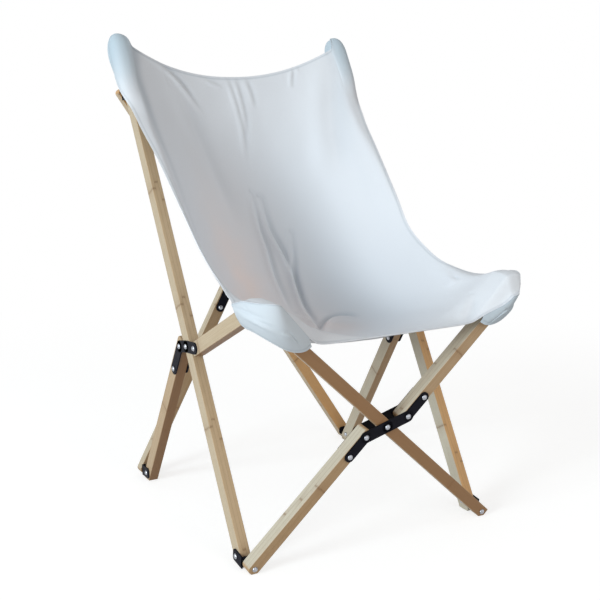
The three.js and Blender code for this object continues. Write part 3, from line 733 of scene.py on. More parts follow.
def bolt_shape(bm, matrix, low, high):
    """A bolt along the frame's third axis, with a domed head outside each seat."""
    steel = bpy.context.scene.chair_steel
    radius = steel.head / MM
    profile = [(radius * r, low - HEAD_RISE * h) for r, h in DOME]
    profile += [(SHANK, low), (SHANK, high)]
    profile += [(radius * r, high + HEAD_RISE * h) for r, h in reversed(DOME)]
    before = set(bm.verts)
    verts = [bm.verts.new((r, 0, h)) for r, h in profile]
    edges = [bm.edges.new(pair) for pair in zip(verts, verts[1:])]
    bmesh.ops.spin(bm, geom=verts + edges, cent=(0, 0, 0), axis=(0, 0, 1), dvec=(0, 0, 0),
                   angle=2 * math.pi, steps=steel.head_sides, use_merge=True, use_duplicate=False)
    bmesh.ops.transform(bm, matrix=matrix, verts=[v for v in bm.verts if v not in before])
    bmesh.ops.remove_doubles(bm, verts=bm.verts, dist=WELD)
    bmesh.ops.recalc_face_normals(bm, faces=bm.faces)


class CHAIR_OT_steel(Operator):
    """Makes the side plates, the cross plates and the corner brackets"""

    bl_idname = "chair.steel"
    bl_label = "Plates and brackets"

    def execute(self, context):
        upper, lower, rail, pivot = (Vector(p) for p in (*LEG_BOLTS, RAIL_PIN, PIVOT))
        for side, sign in SIDES:
            arms = ((upper, lower), (upper, pivot), (pivot, rail))
            for face, out in (("outer", sign), ("inner", -sign)):
                self.plate(f"side_plate_{side}_{face}", side_frame(sign, (0, 0), 0), arms, SIDE_ARM,
                           out * (BAR_DEPTH / 2 + GAP + SHEET / 2))
        near, far = CROSS_BOLTS
        for label, (_foot, _head, _offset, _face, depth, plate, _pin) in CROSSES.items():
            places = ((-far, plate), (-near, plate), (0, 0), (near, -plate), (far, -plate))
            spots = [Vector(p) for p in places]
            for face, out in (("front", 1), ("back", -1)):
                self.plate(f"{label}_plate_{face}", cross_parts(label)[1], list(zip(spots, spots[1:])),
                           CROSS_ARM[face], out * (depth / 2 + GAP + SHEET / 2))
            for side, sign in SIDES:
                for end in ("foot", "top"):
                    self.bracket(label, end, side, sign)
        return {"FINISHED"}

    def plate(self, name, matrix, arms, arm, rise):
        """A cranked plate: an arm with round ends between each two bolts."""
        bm = bmesh.new()
        for p, q in arms:
            long = (q - p).length
            half = arm + (CRANK_EXTRA if min(p.length, q.length) < 1 else 0)
            before = set(bm.verts)
            verts = box(bm, (long + 2 * half, 2 * half, SHEET))
            corner = [e for e in {e for v in verts for e in v.link_edges}
                      if abs(e.verts[0].co.z - e.verts[1].co.z) > SHEET / 2]
            round_edges(bm, corner, half * END_SHARE, ROUND_STEPS)
            d = (q - p) / long
            place = matrix_of((d.x, d.y, 0), (-d.y, d.x, 0), (0, 0, 1), ((p + q) / 2).to_3d())
            place.translation.z = rise
            bmesh.ops.transform(bm, matrix=place, verts=[v for v in bm.verts if v not in before])
        bmesh.ops.transform(bm, matrix=matrix, verts=bm.verts)
        hard_piece("steel_", name, bm, black_powder_coat)

    def bracket(self, label, end, side, sign):
        """Two tabs at a right angle: one on the side bar's outer face, one towards the cross."""
        foot, head, offset, _face, depth, _plate, pin = CROSSES[label]
        if end == "foot":
            point, gap, low, high = foot, GAP, TAB_SHORT, TAB_HALF
        else:
            point, (gap, high), low = head, TOPS[label], TAB_HALF
        up, normal = cross_plane(foot, head)
        normal *= 1 if offset > 0 else -1
        outward = up.cross(normal)
        corner = matrix_of(outward, up, normal, (sign * HALF_WIDTH, *point))
        out = sign if outward.x > 0 else -sign
        face = BAR_DEPTH / 2 + GAP
        near = abs(offset) - depth / 2 - gap - SHEET
        width = face + SHEET + TAB_INNER
        bm = bmesh.new()
        self.tab(bm, (SHEET, 2 * TAB_HALF, near + SHEET + TAB_HALF),
                 (out * (face + SHEET / 2), 0, (near + SHEET - TAB_HALF) / 2), 0, 2, -1)
        self.tab(bm, (width, high + low, SHEET),
                 (out * (face + SHEET - width / 2), (high - low) / 2, near + SHEET / 2), 2, 0, -out)
        bmesh.ops.transform(bm, matrix=corner, verts=bm.verts)
        name = f"bracket_{label}_{end}_{side}"
        hard_piece("steel_", name, bm, black_powder_coat)
        pins = bmesh.new()
        bolt_shape(pins, corner @ Matrix.Rotation(out * math.pi / 2, 4, "Y"), -face, face + SHEET)
        if gap == GAP:
            through = corner @ Matrix.Translation((out * pin, 0, 0))
            bolt_shape(pins, through, near, abs(offset) + depth / 2 + GAP)
        zinc = hard_object("zinc_" + name, pins, shared(zinc_bolt))
        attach(zinc, NODES[name]["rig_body"])

    def tab(self, bm, size, place, flat_axis, axis, sign):
        """A steel tab with two round corners on its free side along an axis."""
        verts = box(bm, size, place)
        limit = place[axis] + sign * size[axis] / 2
        corner = [e for e in {e for v in verts for e in v.link_edges}
                  if abs(e.verts[0].co[flat_axis] - e.verts[1].co[flat_axis]) > size[flat_axis] / 2
                  and all(abs(v.co[axis] - limit) < TINY for v in e.verts)]
        round_edges(bm, corner, bpy.context.scene.chair_steel.corner / MM, TAB_STEPS)


class CHAIR_OT_bolts(Operator):
    """Makes the domed bolts of the side frames and the crosses"""

    bl_idname = "chair.bolts"
    bl_label = "Bolts"

    def execute(self, context):
        zinc = shared(zinc_bolt)
        normals = {label: cross_parts(label)[4] for label in CROSSES}
        for name in NODES:
            mesh = NODES[name].data
            if name.startswith("pin_"):
                mesh.materials.clear()
                mesh.materials.append(zinc)
            if not ("bolt" in name or "pivot" in name):
                continue
            axis = normals.get(name.split("_")[0], Vector((1, 0, 0)))
            low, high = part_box(name)
            middle = (low + high) / 2
            reach = max(abs((v.co - middle).dot(axis)) for v in mesh.vertices) / MM - HEAD_RISE
            matrix = axis.to_track_quat("Z", "Y").to_matrix().to_4x4()
            matrix.translation = middle / MM - SHIFT
            bm = bmesh.new()
            bolt_shape(bm, matrix, -reach, reach)
            hard_piece("zinc_", name, bm, zinc_bolt)
        return {"FINISHED"}


# Canvas


EDGE_POINTS = (
    (262, 311, 886), (272, 279, 831), (264, 254, 789), (256, 212, 737), (247, 146, 677),
    (238, 57, 590), (232, 0, 536), (233, -55, 502), (236, -106, 480), (245, -145, 470),
    (252, -180, 466), (262, -205, 467), (270, -236, 475), (271, -270, 484), (268, -322, 486))
MIDDLE_POINTS = (
    (0, 338, 826), (0, 318, 765), (0, 300, 715), (0, 275, 650), (0, 235, 565), (0, 170, 460),
    (0, 115, 400), (0, 50, 360), (0, -15, 345), (0, -75, 346), (0, -135, 356), (0, -185, 368),
    (0, -235, 384), (0, -275, 397), (0, -304, 407))
BAND, BAND_EASE, CURL, CURL_END = 231.0, 0.014, 20.0, 0.2
HEM_START, HEM_FLAT, HEM_TOP, HEM_BLEND = 0.86, 165.0, 240.0, 8.0
# how sharply the sheet hangs between its edges: at the top hem, and added by the front
HANG_POWER, HANG_EXTRA = 2.2, 0.4
# the front edge's left part droops in front of a crest, between these places across
LIP_RISE, LIP_BACK, LIP_CREST = 19.0, 0.85, 0.95
LIP_START, LIP_END = (-0.86, -0.68), (-0.66, -0.06)
# front corners are round from these shares on
CORNER_T, CORNER_A = 0.93, 0.88
# the sheet lies over the bars' tips, and its right corner hangs down in front of them
TIP_TOP, TIP_X, TIP_Y, TIP_BLEND = 481.0, (234.0, 257.0), -257.0, 7.0
TIP_FALL = (1.1, 1.5, 0.55)  # of the sheet beside a tip: inwards, outwards, backwards
DROOP_DOWN, DROOP_T, DROOP_U = 30.0, (0.966, 0.995), (0.6, 0.86)
PULL_IN, PULL_T, PULL_U = 6.0, (0.94, 1.0), (0.75, 1.0)

# Ears: along the long bar from its pivot, and across it
EAR_MOUTH, EAR_SHOULDER, EAR_TIP = 566.0, 608.0, 655.5
EAR_MIDDLE, EAR_HALF_WIDTH, EAR_HALF_FACE, EAR_POWER = 5.5, 20.7, 25.0, 2.45
EAR_START, EAR_BLEND, EAR_SOFT = 0.878, 0.055, 13.0
EAR_LAP, EAR_TUCK, EAR_TUCK_END = 1.7, 5.0, 0.35
EAR_RUN_IN, EAR_RUN_PAST = 95.0, 8.0
EAR_SIDES, EAR_RINGS, EAR_CLOSE, EAR_HEM = 72, 40, 0.985, (8.0, 9.5)

# Folds of the sling: half width and height, share of the trough beside the ridge, then
# places as shares from the top hem down and from the middle (0) to either side (-1, 1)
SLING_FOLDS = (
    (7, 2.6, 0.9, ((0.0, -0.76), (0.011, -0.62), (0.029, -0.49), (0.064, -0.39), (0.11, -0.29))),
    (5, 1.5, 0.9, ((0.02, -0.56), (0.032, -0.50), (0.058, -0.42))),
    (5, 1.3, 0.9, ((0.012, -0.26), (0.02, -0.17), (0.027, -0.09))),
    (6, 1.9, 0.8, ((0.0, -0.06), (0.036, -0.03), (0.089, 0.0), (0.146, 0.01), (0.22, 0.0))),
    (6, 1.7, 0.8, ((0.0, 0.01), (0.05, 0.04), (0.107, 0.05), (0.17, 0.03))),
    (6, 1.4, 0.8, ((0.0, 0.10), (0.046, 0.13), (0.09, 0.15))),
    (5, 1.5, 0.8, ((0.0, 0.53), (0.014, 0.515), (0.032, 0.49), (0.055, 0.48))),
    (3.5, 1.2, 0.8, ((0.0, 0.56), (0.008, 0.57), (0.02, 0.585))),
    (26, 4.5, 0.5, ((0.03, 0.72), (0.1, 0.68), (0.18, 0.66), (0.3, 0.64))),
    (22, 3.5, 0.5, ((0.06, -0.56), (0.14, -0.5), (0.24, -0.42), (0.33, -0.30))),
    (6.5, 5.0, 0.9, ((0.27, -0.02), (0.32, -0.03), (0.343, -0.01), (0.382, -0.02), (0.429, -0.02),
                     (0.50, -0.05))),
    (7, 6.5, 0.9, ((0.28, 0.05), (0.318, 0.06), (0.339, 0.10), (0.371, 0.13), (0.414, 0.13),
                   (0.464, 0.10), (0.518, 0.09), (0.575, 0.07))),
    (6, 4.5, 0.9, ((0.33, 0.24), (0.368, 0.19), (0.404, 0.15), (0.446, 0.12), (0.493, 0.11), (0.56, 0.10))),
    (7.5, 6.0, 0.9, ((0.585, 0.07), (0.55, 0.18), (0.532, 0.27), (0.539, 0.36), (0.57, 0.41))),
    (5, 3.6, 0.9, ((0.49, 0.02), (0.525, 0.07), (0.564, 0.10))),
    (12, 3.0, 0.7, ((0.50, -0.16), (0.58, -0.12), (0.66, -0.06), (0.72, 0.02))),
    (8, 2.4, 0.8, ((0.635, 0.92), (0.661, 0.90), (0.693, 0.87), (0.72, 0.85))),
    (8, 2.4, 0.8, ((0.88, 0.68), (0.907, 0.62), (0.929, 0.56), (0.94, 0.50))),
    (10, 2.0, 0.6, ((0.70, -0.80), (0.78, -0.74), (0.86, -0.66))),
)
# Folds of a bag: places as shares along it from its side end, and down from the sling's edge
BAG_FOLDS = (
    (5, 2.2, 0.9, ((0.42, 0.22), (0.50, 0.42), (0.58, 0.52), (0.64, 0.55))),
    (4, 1.6, 0.9, ((0.60, 0.62), (0.68, 0.72), (0.77, 0.72))),
    (4, 1.6, 0.9, ((0.30, 0.10), (0.36, 0.32), (0.40, 0.60))),
    (3, 1.2, 0.9, ((0.14, 0.30), (0.22, 0.34), (0.28, 0.32))),
)
BAG_START_T, BAG_END_A, BAG_BULGE = 0.775, 0.66, {-1: 12.0, 1: 3.0}
# The bags' painted shade is the last of these, deeper on the left bag
BAG_TURN, BAG_MIDDLE, BAG_SHADE = 0.52, (150.0, -150.0, 0.0), {-1: 0.45, 1: 0.75}
BAG_COLUMNS, BAG_ROWS, BAG_HEM_AT = 110, 40, (0.80, 0.84)
BAG_HEM = (
    (264, -208, 467), (264, -244, 441), (260, -284, 436), (242, -303, 423), (216, -306, 407),
    (196, -306, 401), (181, -306, 402), (171, -305, 407))

# Grid of the sling: its rows and columns lie closer near the edges
PANELS, ROW_POWER, COLUMN_POWER = 5, 1.35, 1.25
# Hems: thinner at the very edge, thicker up to the seam, in which the cloth is stiffer
EDGE_SHARE, EDGE_EASE, SEAM_STEP, SEAM_WIDTH = 0.55, 1.2, 0.8, 1.5
STIFF_SHARE, STIFF_REACH = 0.25, 18.0
EAR_STILL, EAR_STILL_END = 0.06, (0.12, 0.2)
# painted shade on the ears, darkest at their tops: where it rises across the sling, and where it fades down
# it
EAR_SHADE_U, EAR_SHADE_T = (0.84, 0.94), (0.0, 0.16)
# Painted shade along the crease below each ear: its place and width across, where it ends, and what the
# right one lacks
CREASE, CREASE_END, CREASE_LACK, CREASE_SIDES = (0.855, 0.045), (0.08, 0.42), 0.75, (-0.2, 0.2)
# how strongly shade is painted in the crease, along the hem seams and in the folds' troughs, then the
# trough depth at which it is full
CREASE_SHADE, SEAM_SHADE, TROUGH_SHADE, HOLLOW_DEPTH = 0.55, 0.35, 0.25, 3.0
# Patches of painted warm reflected light and of painted shade on the sling: strength, middle and width down
# it, the same across it
WARM = ((1.0, 0.43, 0.13, -0.36, 0.26), (0.8, 0.56, 0.09, 0.22, 0.25))
SHADE_PATCHES = ((0.5, 0.56, 0.17, 0.46, 0.28), (0.2, 0.33, 0.2, 0.35, 0.4))
HEM_EXTRA = 0.8


def centripetal(points, t):
    """Points of a centripetal Catmull-Rom curve at shares t of its spans."""
    t = np.asarray(t, float)
    p = np.array(points, float)
    p = np.vstack([2 * p[0] - p[1], p, 2 * p[-1] - p[-2]])
    spans = len(points) - 1
    place = np.clip(t.reshape(-1), 0, 1) * spans
    i = np.minimum(place.astype(int), spans - 1)
    w = (place - i)[:, None]
    p0, p1, p2, p3 = p[i], p[i + 1], p[i + 2], p[i + 3]
    pairs = ((p0, p1), (p1, p2), (p2, p3))
    d0, d1, d2 = (np.linalg.norm(b - a, axis=1)[:, None] ** 0.5 for a, b in pairs)
    m1 = ((p1 - p0) / d0 - (p2 - p0) / (d0 + d1) + (p2 - p1) / d1) * d1
    m2 = ((p2 - p1) / d1 - (p3 - p1) / (d1 + d2) + (p3 - p2) / d2) * d1
    found = p1 + m1 * w + (3 * (p2 - p1) - 2 * m1 - m2) * w**2 + (2 * (p1 - p2) + m1 + m2) * w**3
    return found.reshape(*t.shape, 3)


def soft_max(a, b, blend):
    return (a + b + np.sqrt((a - b) ** 2 + blend**2)) / 2


def hem_rise(x):
    return HEM_BLEND * np.log1p(np.exp((x - HEM_FLAT) / HEM_BLEND))


def round_corner(t, u):
    """Moves places in the front corners so that the sheet ends there in an arc."""
    x = np.clip((np.abs(u) - CORNER_A) / (1 - CORNER_A), 0, 1)
    y = np.clip((t - CORNER_T) / (1 - CORNER_T), 0, 1)
    a = np.where(x > 0, CORNER_A + (1 - CORNER_A) * x * np.sqrt(1 - y**2 / 2), np.abs(u))
    t = np.where(y > 0, CORNER_T + (1 - CORNER_T) * y * np.sqrt(1 - x**2 / 2), t)
    return t, np.sign(u) * a


def sling(t, u):
    """The canvas's middle surface: t runs from the top hem to the front hem, u from side to side."""
    t, u = round_corner(t, u)
    edge, middle = centripetal(EDGE_POINTS, t), centripetal(MIDDLE_POINTS, t)
    a = np.abs(u)
    late = smooth(t, HEM_START, 1)
    reach = edge[..., 0]
    band = np.minimum(1, BAND / reach)
    eased = -BAND_EASE * np.log(np.exp(-a / band / BAND_EASE) + math.exp(-1 / BAND_EASE))
    hang = -soft_max(-a * reach, -HEM_TOP, HEM_BLEND)
    w = (1 - late) * np.maximum(eased, 0) ** (HANG_POWER + HANG_EXTRA * t)
    w += late * hem_rise(hang) / hem_rise(HEM_TOP)
    past = np.where(band < 1, np.maximum(0, a - band) / np.maximum(1e-6, 1 - band), 0)
    curl = CURL * np.maximum(0, 1 - t / CURL_END) * past**2
    crest = smooth(t, LIP_BACK, LIP_CREST) * (1 - smooth(t, LIP_CREST, 1.0))
    crest *= smooth(u, *LIP_START) * (1 - smooth(u, *LIP_END))
    x = reach * u
    y = middle[..., 1] + (edge[..., 1] - middle[..., 1]) * w + curl
    z = middle[..., 2] + (edge[..., 2] - middle[..., 2]) * w + LIP_RISE * crest
    beside = (TIP_X[0] - np.abs(x), np.abs(x) - TIP_X[1], y - TIP_Y)
    tips = TIP_TOP - sum(fall * np.maximum(0, gap) for fall, gap in zip(TIP_FALL, beside))
    z = soft_max(z, tips, TIP_BLEND)
    droop = DROOP_DOWN * smooth(t, *DROOP_T) * smooth(u, *DROOP_U)
    pull = PULL_IN * smooth(t, *PULL_T) * smooth(u, *PULL_U)
    return np.stack([x - pull, y, z - droop - pull], axis=-1)


def ear_arc(*shares):
    """The last coordinate of an ear's round form, from its other ones."""
    rest = 1 - sum(np.abs(share) ** EAR_POWER for share in shares)
    return np.maximum(rest, 0) ** (1 / EAR_POWER)


def ear_height(along):
    """Share from an ear's shoulder to its tip."""
    return np.clip((along - EAR_SHOULDER) / (EAR_TIP - EAR_SHOULDER), 0, 1)


def from_bar(along, over, out, sign):
    """A place along the long bar, across its face and outwards from its mid-plane."""
    return np.stack([sign * (HALF_WIDTH + out), *ahead(PIVOT, LONG, along, over)], axis=-1)


def over_ears(p, u):
    """Draws the sheet's top corners round over the ears."""
    c, s = LONG
    y, z = p[..., 1] - PIVOT[0], p[..., 2] - PIVOT[1]
    along, over = y * c + z * s, z * c - y * s
    a = np.abs(u)
    turn = np.pi * (1 - np.clip((a - EAR_START) / (1 - EAR_START), 0, 1))
    ear_out = EAR_MIDDLE + EAR_HALF_WIDTH * np.cos(turn)
    arch = EAR_SHOULDER + (EAR_TIP - EAR_SHOULDER) * ear_arc(np.cos(turn))
    share = np.clip((along - EAR_MOUTH) / (along[:1] - EAR_MOUTH), 0, 1)
    # towards the middle the hem and the skin run on into the sling's own
    inner = smooth(EAR_MIDDLE - ear_out, 0, EAR_HALF_WIDTH)
    hem = along[:1] * inner + (1 - inner) * EAR_MOUTH
    arch = soft_max(arch, hem, EAR_SOFT)
    ear_along = np.where(along > EAR_MOUTH, EAR_MOUTH + share * (arch - EAR_MOUTH), along)
    rise = EAR_HALF_FACE * ear_arc(np.clip(np.cos(turn), -1, 1), ear_height(ear_along))
    ear_over = soft_max(rise, over * inner, EAR_SOFT * inner)
    target = from_bar(ear_along, ear_over, ear_out, np.sign(u))
    weight = smooth(along, EAR_MOUTH - EAR_RUN_IN, EAR_MOUTH + EAR_RUN_PAST)
    weight *= smooth(a, EAR_START - EAR_BLEND, EAR_START + EAR_BLEND)
    return p + (target - p) * weight[..., None]


def surface_normals(p):
    """Unit normals of a grid of points, towards the sitter."""
    n = np.cross(np.gradient(p, axis=0), np.gradient(p, axis=1))
    n /= np.maximum(np.linalg.norm(n, axis=2, keepdims=True), 1e-9)
    return n


def path_length(points, axis=0):
    """Length from the first point on, along an axis of a grid or list of points."""
    steps = np.linalg.norm(np.diff(points, axis=axis), axis=-1)
    return np.insert(np.cumsum(steps, axis=axis), 0, 0, axis=axis)


def flat_places(p):
    """Flat coordinates of a grid of points: across from the middle, and down from the top."""
    across = path_length(p, 1)
    across -= across[:, p.shape[1] // 2][:, None]
    return across, path_length(p)


def fold_height(flat, rows, columns, folds):
    """Height of all folds at each point of a grid."""
    across, down = flat
    height = np.zeros(across.shape)
    for width, rise, trough, places in folds:
        route = []
        for row, column in places:
            i, j = np.argmin(np.abs(rows - row)), np.argmin(np.abs(columns - column))
            route.append((across[i, j], down[i, j], 0))
        route = centripetal(route, np.linspace(0, 1, 4 * len(route)))[:, :2]
        length = path_length(route)
        best = np.full(across.shape, 1e9)
        side, share = np.zeros(across.shape), np.zeros(across.shape)
        for k, (a, b) in enumerate(zip(route, route[1:])):
            d = b - a
            long = max(float(d @ d), 1e-9)
            x, y = across - a[0], down - a[1]
            s = np.clip((x * d[0] + y * d[1]) / long, 0, 1)
            gap = np.hypot(x - s * d[0], y - s * d[1])
            near = gap < best
            best = np.where(near, gap, best)
            side = np.where(near, np.sign(x * d[1] - y * d[0]), side)
            share = np.where(near, (length[k] + s * math.sqrt(long)) / length[-1], share)
        taper = (0.35 + 0.65 * smooth(share, 0, 0.3)) * (1 - smooth(share, 0.6, 1))
        signed = best * side
        height += rise * taper * (hill(signed, 0, width) - trough * hill(signed, 1.5 * width, width))
    return height


def slack(flat, edge):
    """Uneven tension of the cloth, and the fine pucker along its stitched hems."""
    across, down = flat
    broad = 0.7 * np.sin(across / 31 + 1.3 * np.sin(down / 83)) * np.sin(down / 47 + across / 120)
    broad += 0.35 * np.sin(across / 13 + down / 55) * np.sin(down / 29 - across / 77)
    fine = 0.16 * np.sin((across + down) / 1.9 + 2 * np.sin(across / 23 + down / 31))
    return broad * smooth(edge, 2, 40) + fine * hill(edge, 4, 5)


def half_thickness(hem):
    """Half of the canvas's thickness, which grows where it is hemmed."""
    return bpy.context.scene.chair_cloth.thick / MM / 2 * (1 + HEM_EXTRA * hem)


def cloth_piece(prefix, node, points, normals, flat, half, tint):
    """Two skins and their rims from a grid of points: one closed sheet for a node."""
    rows, columns = points.shape[:2]
    bm = bmesh.new()
    uv = bm.loops.layers.uv.new("flat")
    tone = bm.verts.layers.float_vector.new("tint")
    skin = bm.verts.layers.float.new("skin")
    place = bm.verts.layers.int.new("place")
    bmesh.ops.create_grid(bm, x_segments=columns - 1, y_segments=rows - 1, size=1.0)
    grid = sorted(bm.verts, key=lambda v: (round(-v.co.y, 5), round(v.co.x, 5)))
    p, n = points.reshape(-1, 3), normals.reshape(-1, 3)
    thick, tinted = half.reshape(-1), tint.reshape(-1, 3)
    for k, v in enumerate(grid):
        v[place] = k
        v[tone] = Vector(tinted[k])
        v[skin] = -1.0
    made = bmesh.ops.extrude_face_region(bm, geom=bm.faces[:], use_keep_orig=True)
    for v in made["geom"]:
        if isinstance(v, bmesh.types.BMVert):
            v[skin] = 1.0
    for v in bm.verts:
        k = v[place]
        v.co = p[k] + n[k] * thick[k] * v[skin]
    across, down = (f.reshape(-1) for f in flat)
    for face in bm.faces:
        for loop in face.loops:
            k = loop.vert[place]
            loop[uv].uv = (across[k] * MM, -down[k] * MM)
    bmesh.ops.recalc_face_normals(bm, faces=bm.faces)
    bm.normal_update()
    front = [f for f in bm.faces if all(v[skin] > 0 for v in f.verts)]
    if sum(f.normal.dot(Vector(n[f.verts[0][place]])) * f.calc_area() for f in front) < 0:
        bmesh.ops.reverse_faces(bm, faces=bm.faces)
    obj = object_of(prefix + node, bm, shared(cotton_canvas))
    give_normals(obj.data, n)
    take_over(obj, node)
    return obj


def give_normals(mesh, n):
    """Skins take the whole sheet's normals, rims keep their own."""

    def values(collection, key, kind=int, size=1):
        found = np.zeros(size * len(collection), kind)
        collection.foreach_get(key, found)
        return found

    vertex = values(mesh.loops, "vertex_index")
    place = values(mesh.attributes["place"].data, "value")
    skin = values(mesh.attributes["skin"].data, "value", float)
    totals = values(mesh.polygons, "loop_total")
    own = values(mesh.polygons, "normal", float, 3).reshape(-1, 3)
    face = np.repeat(np.arange(len(totals)), totals)
    side = np.add.reduceat(skin[vertex], values(mesh.polygons, "loop_start"))[face]
    whole = np.abs(side) > totals[face] - 0.5
    wanted = n[place[vertex]] * skin[vertex][:, None]
    mesh.normals_split_custom_set(np.where(whole[:, None], wanted, own[face]))


def point_at(place, places, points):
    """The point at a place along a row of points."""
    return [float(np.interp(place, places, points[:, axis])) for axis in range(3)]


class Cloth:
    """The whole sling as a grid, from which its five pieces are cut."""

    def __init__(self, settings):
        self.per = settings.rows // PANELS
        panel = 1 / PANELS
        share = np.linspace(0, 1, self.per + 1)
        fine = share**ROW_POWER
        middle = [panel * (k + share[:-1]) for k in range(1, PANELS - 1)]
        last = 1 - panel + panel * (1 - fine[::-1])
        self.t = np.concatenate([panel * fine[:-1], *middle, last])
        s = np.linspace(-1, 1, settings.columns + 1)
        self.u = np.sign(s) * (1 - (1 - np.abs(s)) ** COLUMN_POWER)
        t, u = np.meshgrid(self.t, self.u, indexing="ij")
        base = over_ears(sling(t, u), u)
        across, down = flat = flat_places(base)
        side = np.minimum(across - across[:, :1], across[:, -1:] - across)
        edge = np.minimum(side, np.minimum(down, down[-1:] - down))
        a = np.abs(u)
        still = 1 - smooth(a, EAR_START - EAR_STILL, EAR_START) * (1 - smooth(t, *EAR_STILL_END))
        folds = fold_height(flat, self.t, self.u, SLING_FOLDS)
        free = STIFF_SHARE + (1 - STIFF_SHARE) * smooth(edge, 0, STIFF_REACH)
        height = (folds + slack(flat, edge)) * free * still
        self.points = base + surface_normals(base) * height[..., None]
        self.normals = surface_normals(self.points)
        self.flat = flat_places(self.points)
        seam = settings.hem / MM
        hem = 1 - smooth(edge, seam - SEAM_STEP, seam + SEAM_STEP)
        self.half = half_thickness(hem) * (EDGE_SHARE + (1 - EDGE_SHARE) * smooth(edge, 0, EDGE_EASE))
        self.front = self.points + self.normals * self.half[..., None]
        # painted shade on the ears, fading down from their tops
        ear = smooth(a, *EAR_SHADE_U) * (1 - smooth(t, *EAR_SHADE_T))
        # painted shade along the crease below each ear, weaker on the right
        crease = hill(a, *CREASE) * (1 - smooth(t, *CREASE_END))
        crease *= 1 - CREASE_LACK * smooth(u, *CREASE_SIDES)
        # patches of painted warm reflected light and of painted shade
        warm, painted_shade = (
            sum(share * hill(t, *down_it) * hill(u, *across_it) for share, down_it, across_it in
                ((spot[0], spot[1:3], spot[3:]) for spot in spots))
            for spots in (WARM, SHADE_PATCHES))
        # painted shade in the crease, along the hem seams and in the folds' troughs
        painted_shade += CREASE_SHADE * crease + SEAM_SHADE * hill(edge, seam, SEAM_WIDTH)
        painted_shade += TROUGH_SHADE * np.clip(-folds / HOLLOW_DEPTH, 0, 1)
        self.tint = np.stack([np.clip(warm, 0, 1), ear, np.clip(painted_shade, 0, 1)], axis=-1)

    def side_line(self, rows, inset, sign):
        """A line on the front skin, a given distance in from a side edge."""
        found = []
        for row, skin in zip(self.flat[0][rows], self.front[rows]):
            want = row[0] + inset if sign < 0 else row[-1] - inset
            found.append(point_at(want, row, skin))
        return np.array(found)

    def hem_line(self, inset, last):
        """A line on the front skin, a given distance in from the top or the front edge."""
        down = self.flat[1][-1:] - self.flat[1] if last else self.flat[1]
        order = slice(None, None, -1) if last else slice(None)
        found = []
        for j in np.nonzero(np.abs(self.u) < (0.95 if last else 0.86))[0]:
            found.append(point_at(inset, down[order, j], self.front[order, j]))
        return np.array(found)


def sew(bm, line, pitch):
    """A row of short stitches along a line of points."""
    length = path_length(line)
    for s in np.arange(pitch, length[-1] - pitch, pitch):
        place, next_one = (Vector(point_at(at, length, line)) for at in (s, s + 1))
        turn = (next_one - place).to_track_quat("X", "Z").to_matrix().to_4x4()
        matrix = Matrix.Translation(place) @ turn @ Matrix.Diagonal((*STITCH, 1))
        bmesh.ops.create_icosphere(bm, subdivisions=1, radius=1.0, matrix=matrix)


class CHAIR_OT_canvas(Operator):
    """Makes the slung canvas in its five pieces, which fold with the frame"""

    bl_idname = "chair.canvas"
    bl_label = "Canvas"

    def execute(self, context):
        settings = context.scene.chair_cloth
        cloth = Cloth(settings)
        inset, pitch = settings.hem / MM - STITCH_INSET, settings.stitch / MM
        for k in range(PANELS):
            rows = slice(k * cloth.per, (k + 1) * cloth.per + 1)
            name = f"canvas_{k + 1}"
            flat = [f[rows] for f in cloth.flat]
            obj = cloth_piece("sling_", name, cloth.points[rows], cloth.normals[rows], flat,
                              cloth.half[rows], cloth.tint[rows])
            bm = bmesh.new()
            for _side, sign in SIDES:
                sew(bm, cloth.side_line(rows, inset, sign), pitch)
            if k in (0, PANELS - 1):
                sew(bm, cloth.hem_line(inset, k > 0), pitch)
            stitches = object_of("stitches_" + name, bm, shared(sewing_thread))
            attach(stitches, NODES[name]["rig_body"])
            for made in (obj, stitches):
                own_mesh(made)
        return {"FINISHED"}


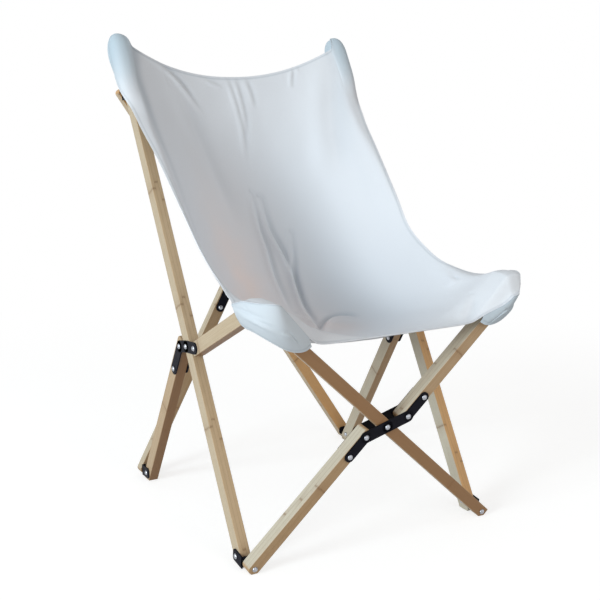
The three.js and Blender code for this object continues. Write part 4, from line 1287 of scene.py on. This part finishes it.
class CHAIR_OT_pockets(Operator):
    """Makes the ears over the long bars' tips and the bags over the front corners"""

    bl_idname = "chair.pockets"
    bl_label = "Pockets"

    def execute(self, context):
        for side, sign in SIDES:
            self.ear(side, sign)
            self.bag(side, sign)
        return {"FINISHED"}

    def finish(self, name, p, half, lined, shade, carrier):
        flat = flat_places(p)
        tint = np.stack([0 * shade, lined + 0 * shade, shade], axis=-1)
        obj = cloth_piece("sewn_", name, p, surface_normals(p), flat, half, tint)

    def ear(self, side, sign):
        """A sleeve with a round end, behind the sheet's corner."""
        turn = (np.pi / 2 + np.linspace(0, 2 * np.pi, EAR_SIDES + 1)[None, :]) * sign
        rise = np.linspace(0, 1, EAR_RINGS + 1)[:, None]
        along = EAR_MOUTH + (EAR_TIP - EAR_MOUTH) * np.sin(rise * np.pi / 2 * EAR_CLOSE)
        c, s = np.cos(turn), np.sin(turn)
        radial = (np.abs(c) ** EAR_POWER + np.abs(s) ** EAR_POWER) ** (-1 / EAR_POWER)
        size = ear_arc(ear_height(along)) * radial
        lap = EAR_LAP * smooth(s * sign, -0.35, 0.05)
        tuck = EAR_TUCK * (1 - smooth(rise, 0, EAR_TUCK_END))
        out = EAR_MIDDLE + size * (EAR_HALF_WIDTH - lap) * c - tuck * np.maximum(c, 0)
        over = size * (EAR_HALF_FACE - lap) * s * sign
        p = from_bar(along - lap * rise + 0 * c, over, out, sign)
        half = half_thickness(1 - smooth(along - EAR_MOUTH, *EAR_HEM)) + 0 * out
        # the sleeve is painted with shade at 0.9 all over
        self.finish("ear_pocket_" + side, p, half, 0.9, 0 * half, "long_bar_" + side)

    def bag(self, side, sign):
        """A wall from the sling's edge down to its own hem, round the front corner."""
        columns, rows = np.linspace(0, 1, BAG_COLUMNS + 1), np.linspace(0, 1, BAG_ROWS + 1)
        t = np.clip(BAG_START_T + (1 - BAG_START_T) * columns / BAG_TURN, 0, 1)
        a = 1 - (1 - BAG_END_A) * np.clip((columns - BAG_TURN) / (1 - BAG_TURN), 0, 1)
        upper = sling(t, sign * a) * np.array((sign, 1, 1))
        lower = centripetal(BAG_HEM, columns)
        away = (upper + lower) / 2 - np.array(BAG_MIDDLE)
        away[:, 2] = 0
        away /= np.linalg.norm(away, axis=1, keepdims=True)
        h = rows[:, None, None]
        full = np.sin(np.pi * columns)[:, None] * np.sin(np.pi * h) * BAG_BULGE[sign]
        p = upper * (1 - h) + lower * h + away * full
        across, down = flat_places(p)
        n = surface_normals(p)
        height = fold_height((across, down), rows, columns, BAG_FOLDS) * np.sin(np.pi * rows)[:, None]
        p = p + n * height[..., None] * np.sign((n * away).sum(axis=2).mean())
        p[..., 0] *= sign
        half = half_thickness(smooth(down / down[-1:], *BAG_HEM_AT))
        # painted shade along the seam to the sling and along the line of the hem
        shade = 0.5 * hill(down, 0, 1.6) + 0.4 * hill(down[-1:] - down, 6, 1.4)
        self.finish("front_pocket_" + side, p, half, BAG_SHADE[sign], shade, "seat_rail_" + side)


class CHAIR_PT_panel(Panel):
    """Lists the chair's pieces"""

    bl_idname = "CHAIR_PT_panel"
    bl_label = "Sling chair"
    bl_space_type = "VIEW_3D"
    bl_region_type = "UI"
    bl_category = "Sling Chair"

    def draw(self, context):
        for cls in OPERATORS:
            self.layout.operator(cls.bl_idname)
        for group in SETTINGS:
            settings, rows = getattr(context.scene, group), self.layout.box()
            for prop in settings.bl_rna.properties:
                if prop.identifier not in ("name", "rna_type"):
                    rows.prop(settings, prop.identifier)


SETTINGS = {
    "chair_wood": WoodSettings,
    "chair_steel": SteelSettings,
    "chair_cloth": ClothSettings,
    "chair_stage": StageSettings,
}
OPERATORS = (
    CHAIR_OT_stage,
    CHAIR_OT_side_bars,
    CHAIR_OT_cross_bars,
    CHAIR_OT_steel,
    CHAIR_OT_bolts,
    CHAIR_OT_canvas,
    CHAIR_OT_pockets,
)
CLASSES = (*SETTINGS.values(), *OPERATORS, CHAIR_PT_panel)


def register():
    for cls in CLASSES:
        bpy.utils.register_class(cls)
    for name, group in SETTINGS.items():
        setattr(bpy.types.Scene, name, PointerProperty(type=group))


def unregister():
    for name in SETTINGS:
        delattr(bpy.types.Scene, name)
    for cls in reversed(CLASSES):
        bpy.utils.unregister_class(cls)


def main():
    register()
    for cls in OPERATORS:
        package, call = cls.bl_idname.split(".")
        getattr(getattr(bpy.ops, package), call)()


if __name__ == "__main__":
    main()
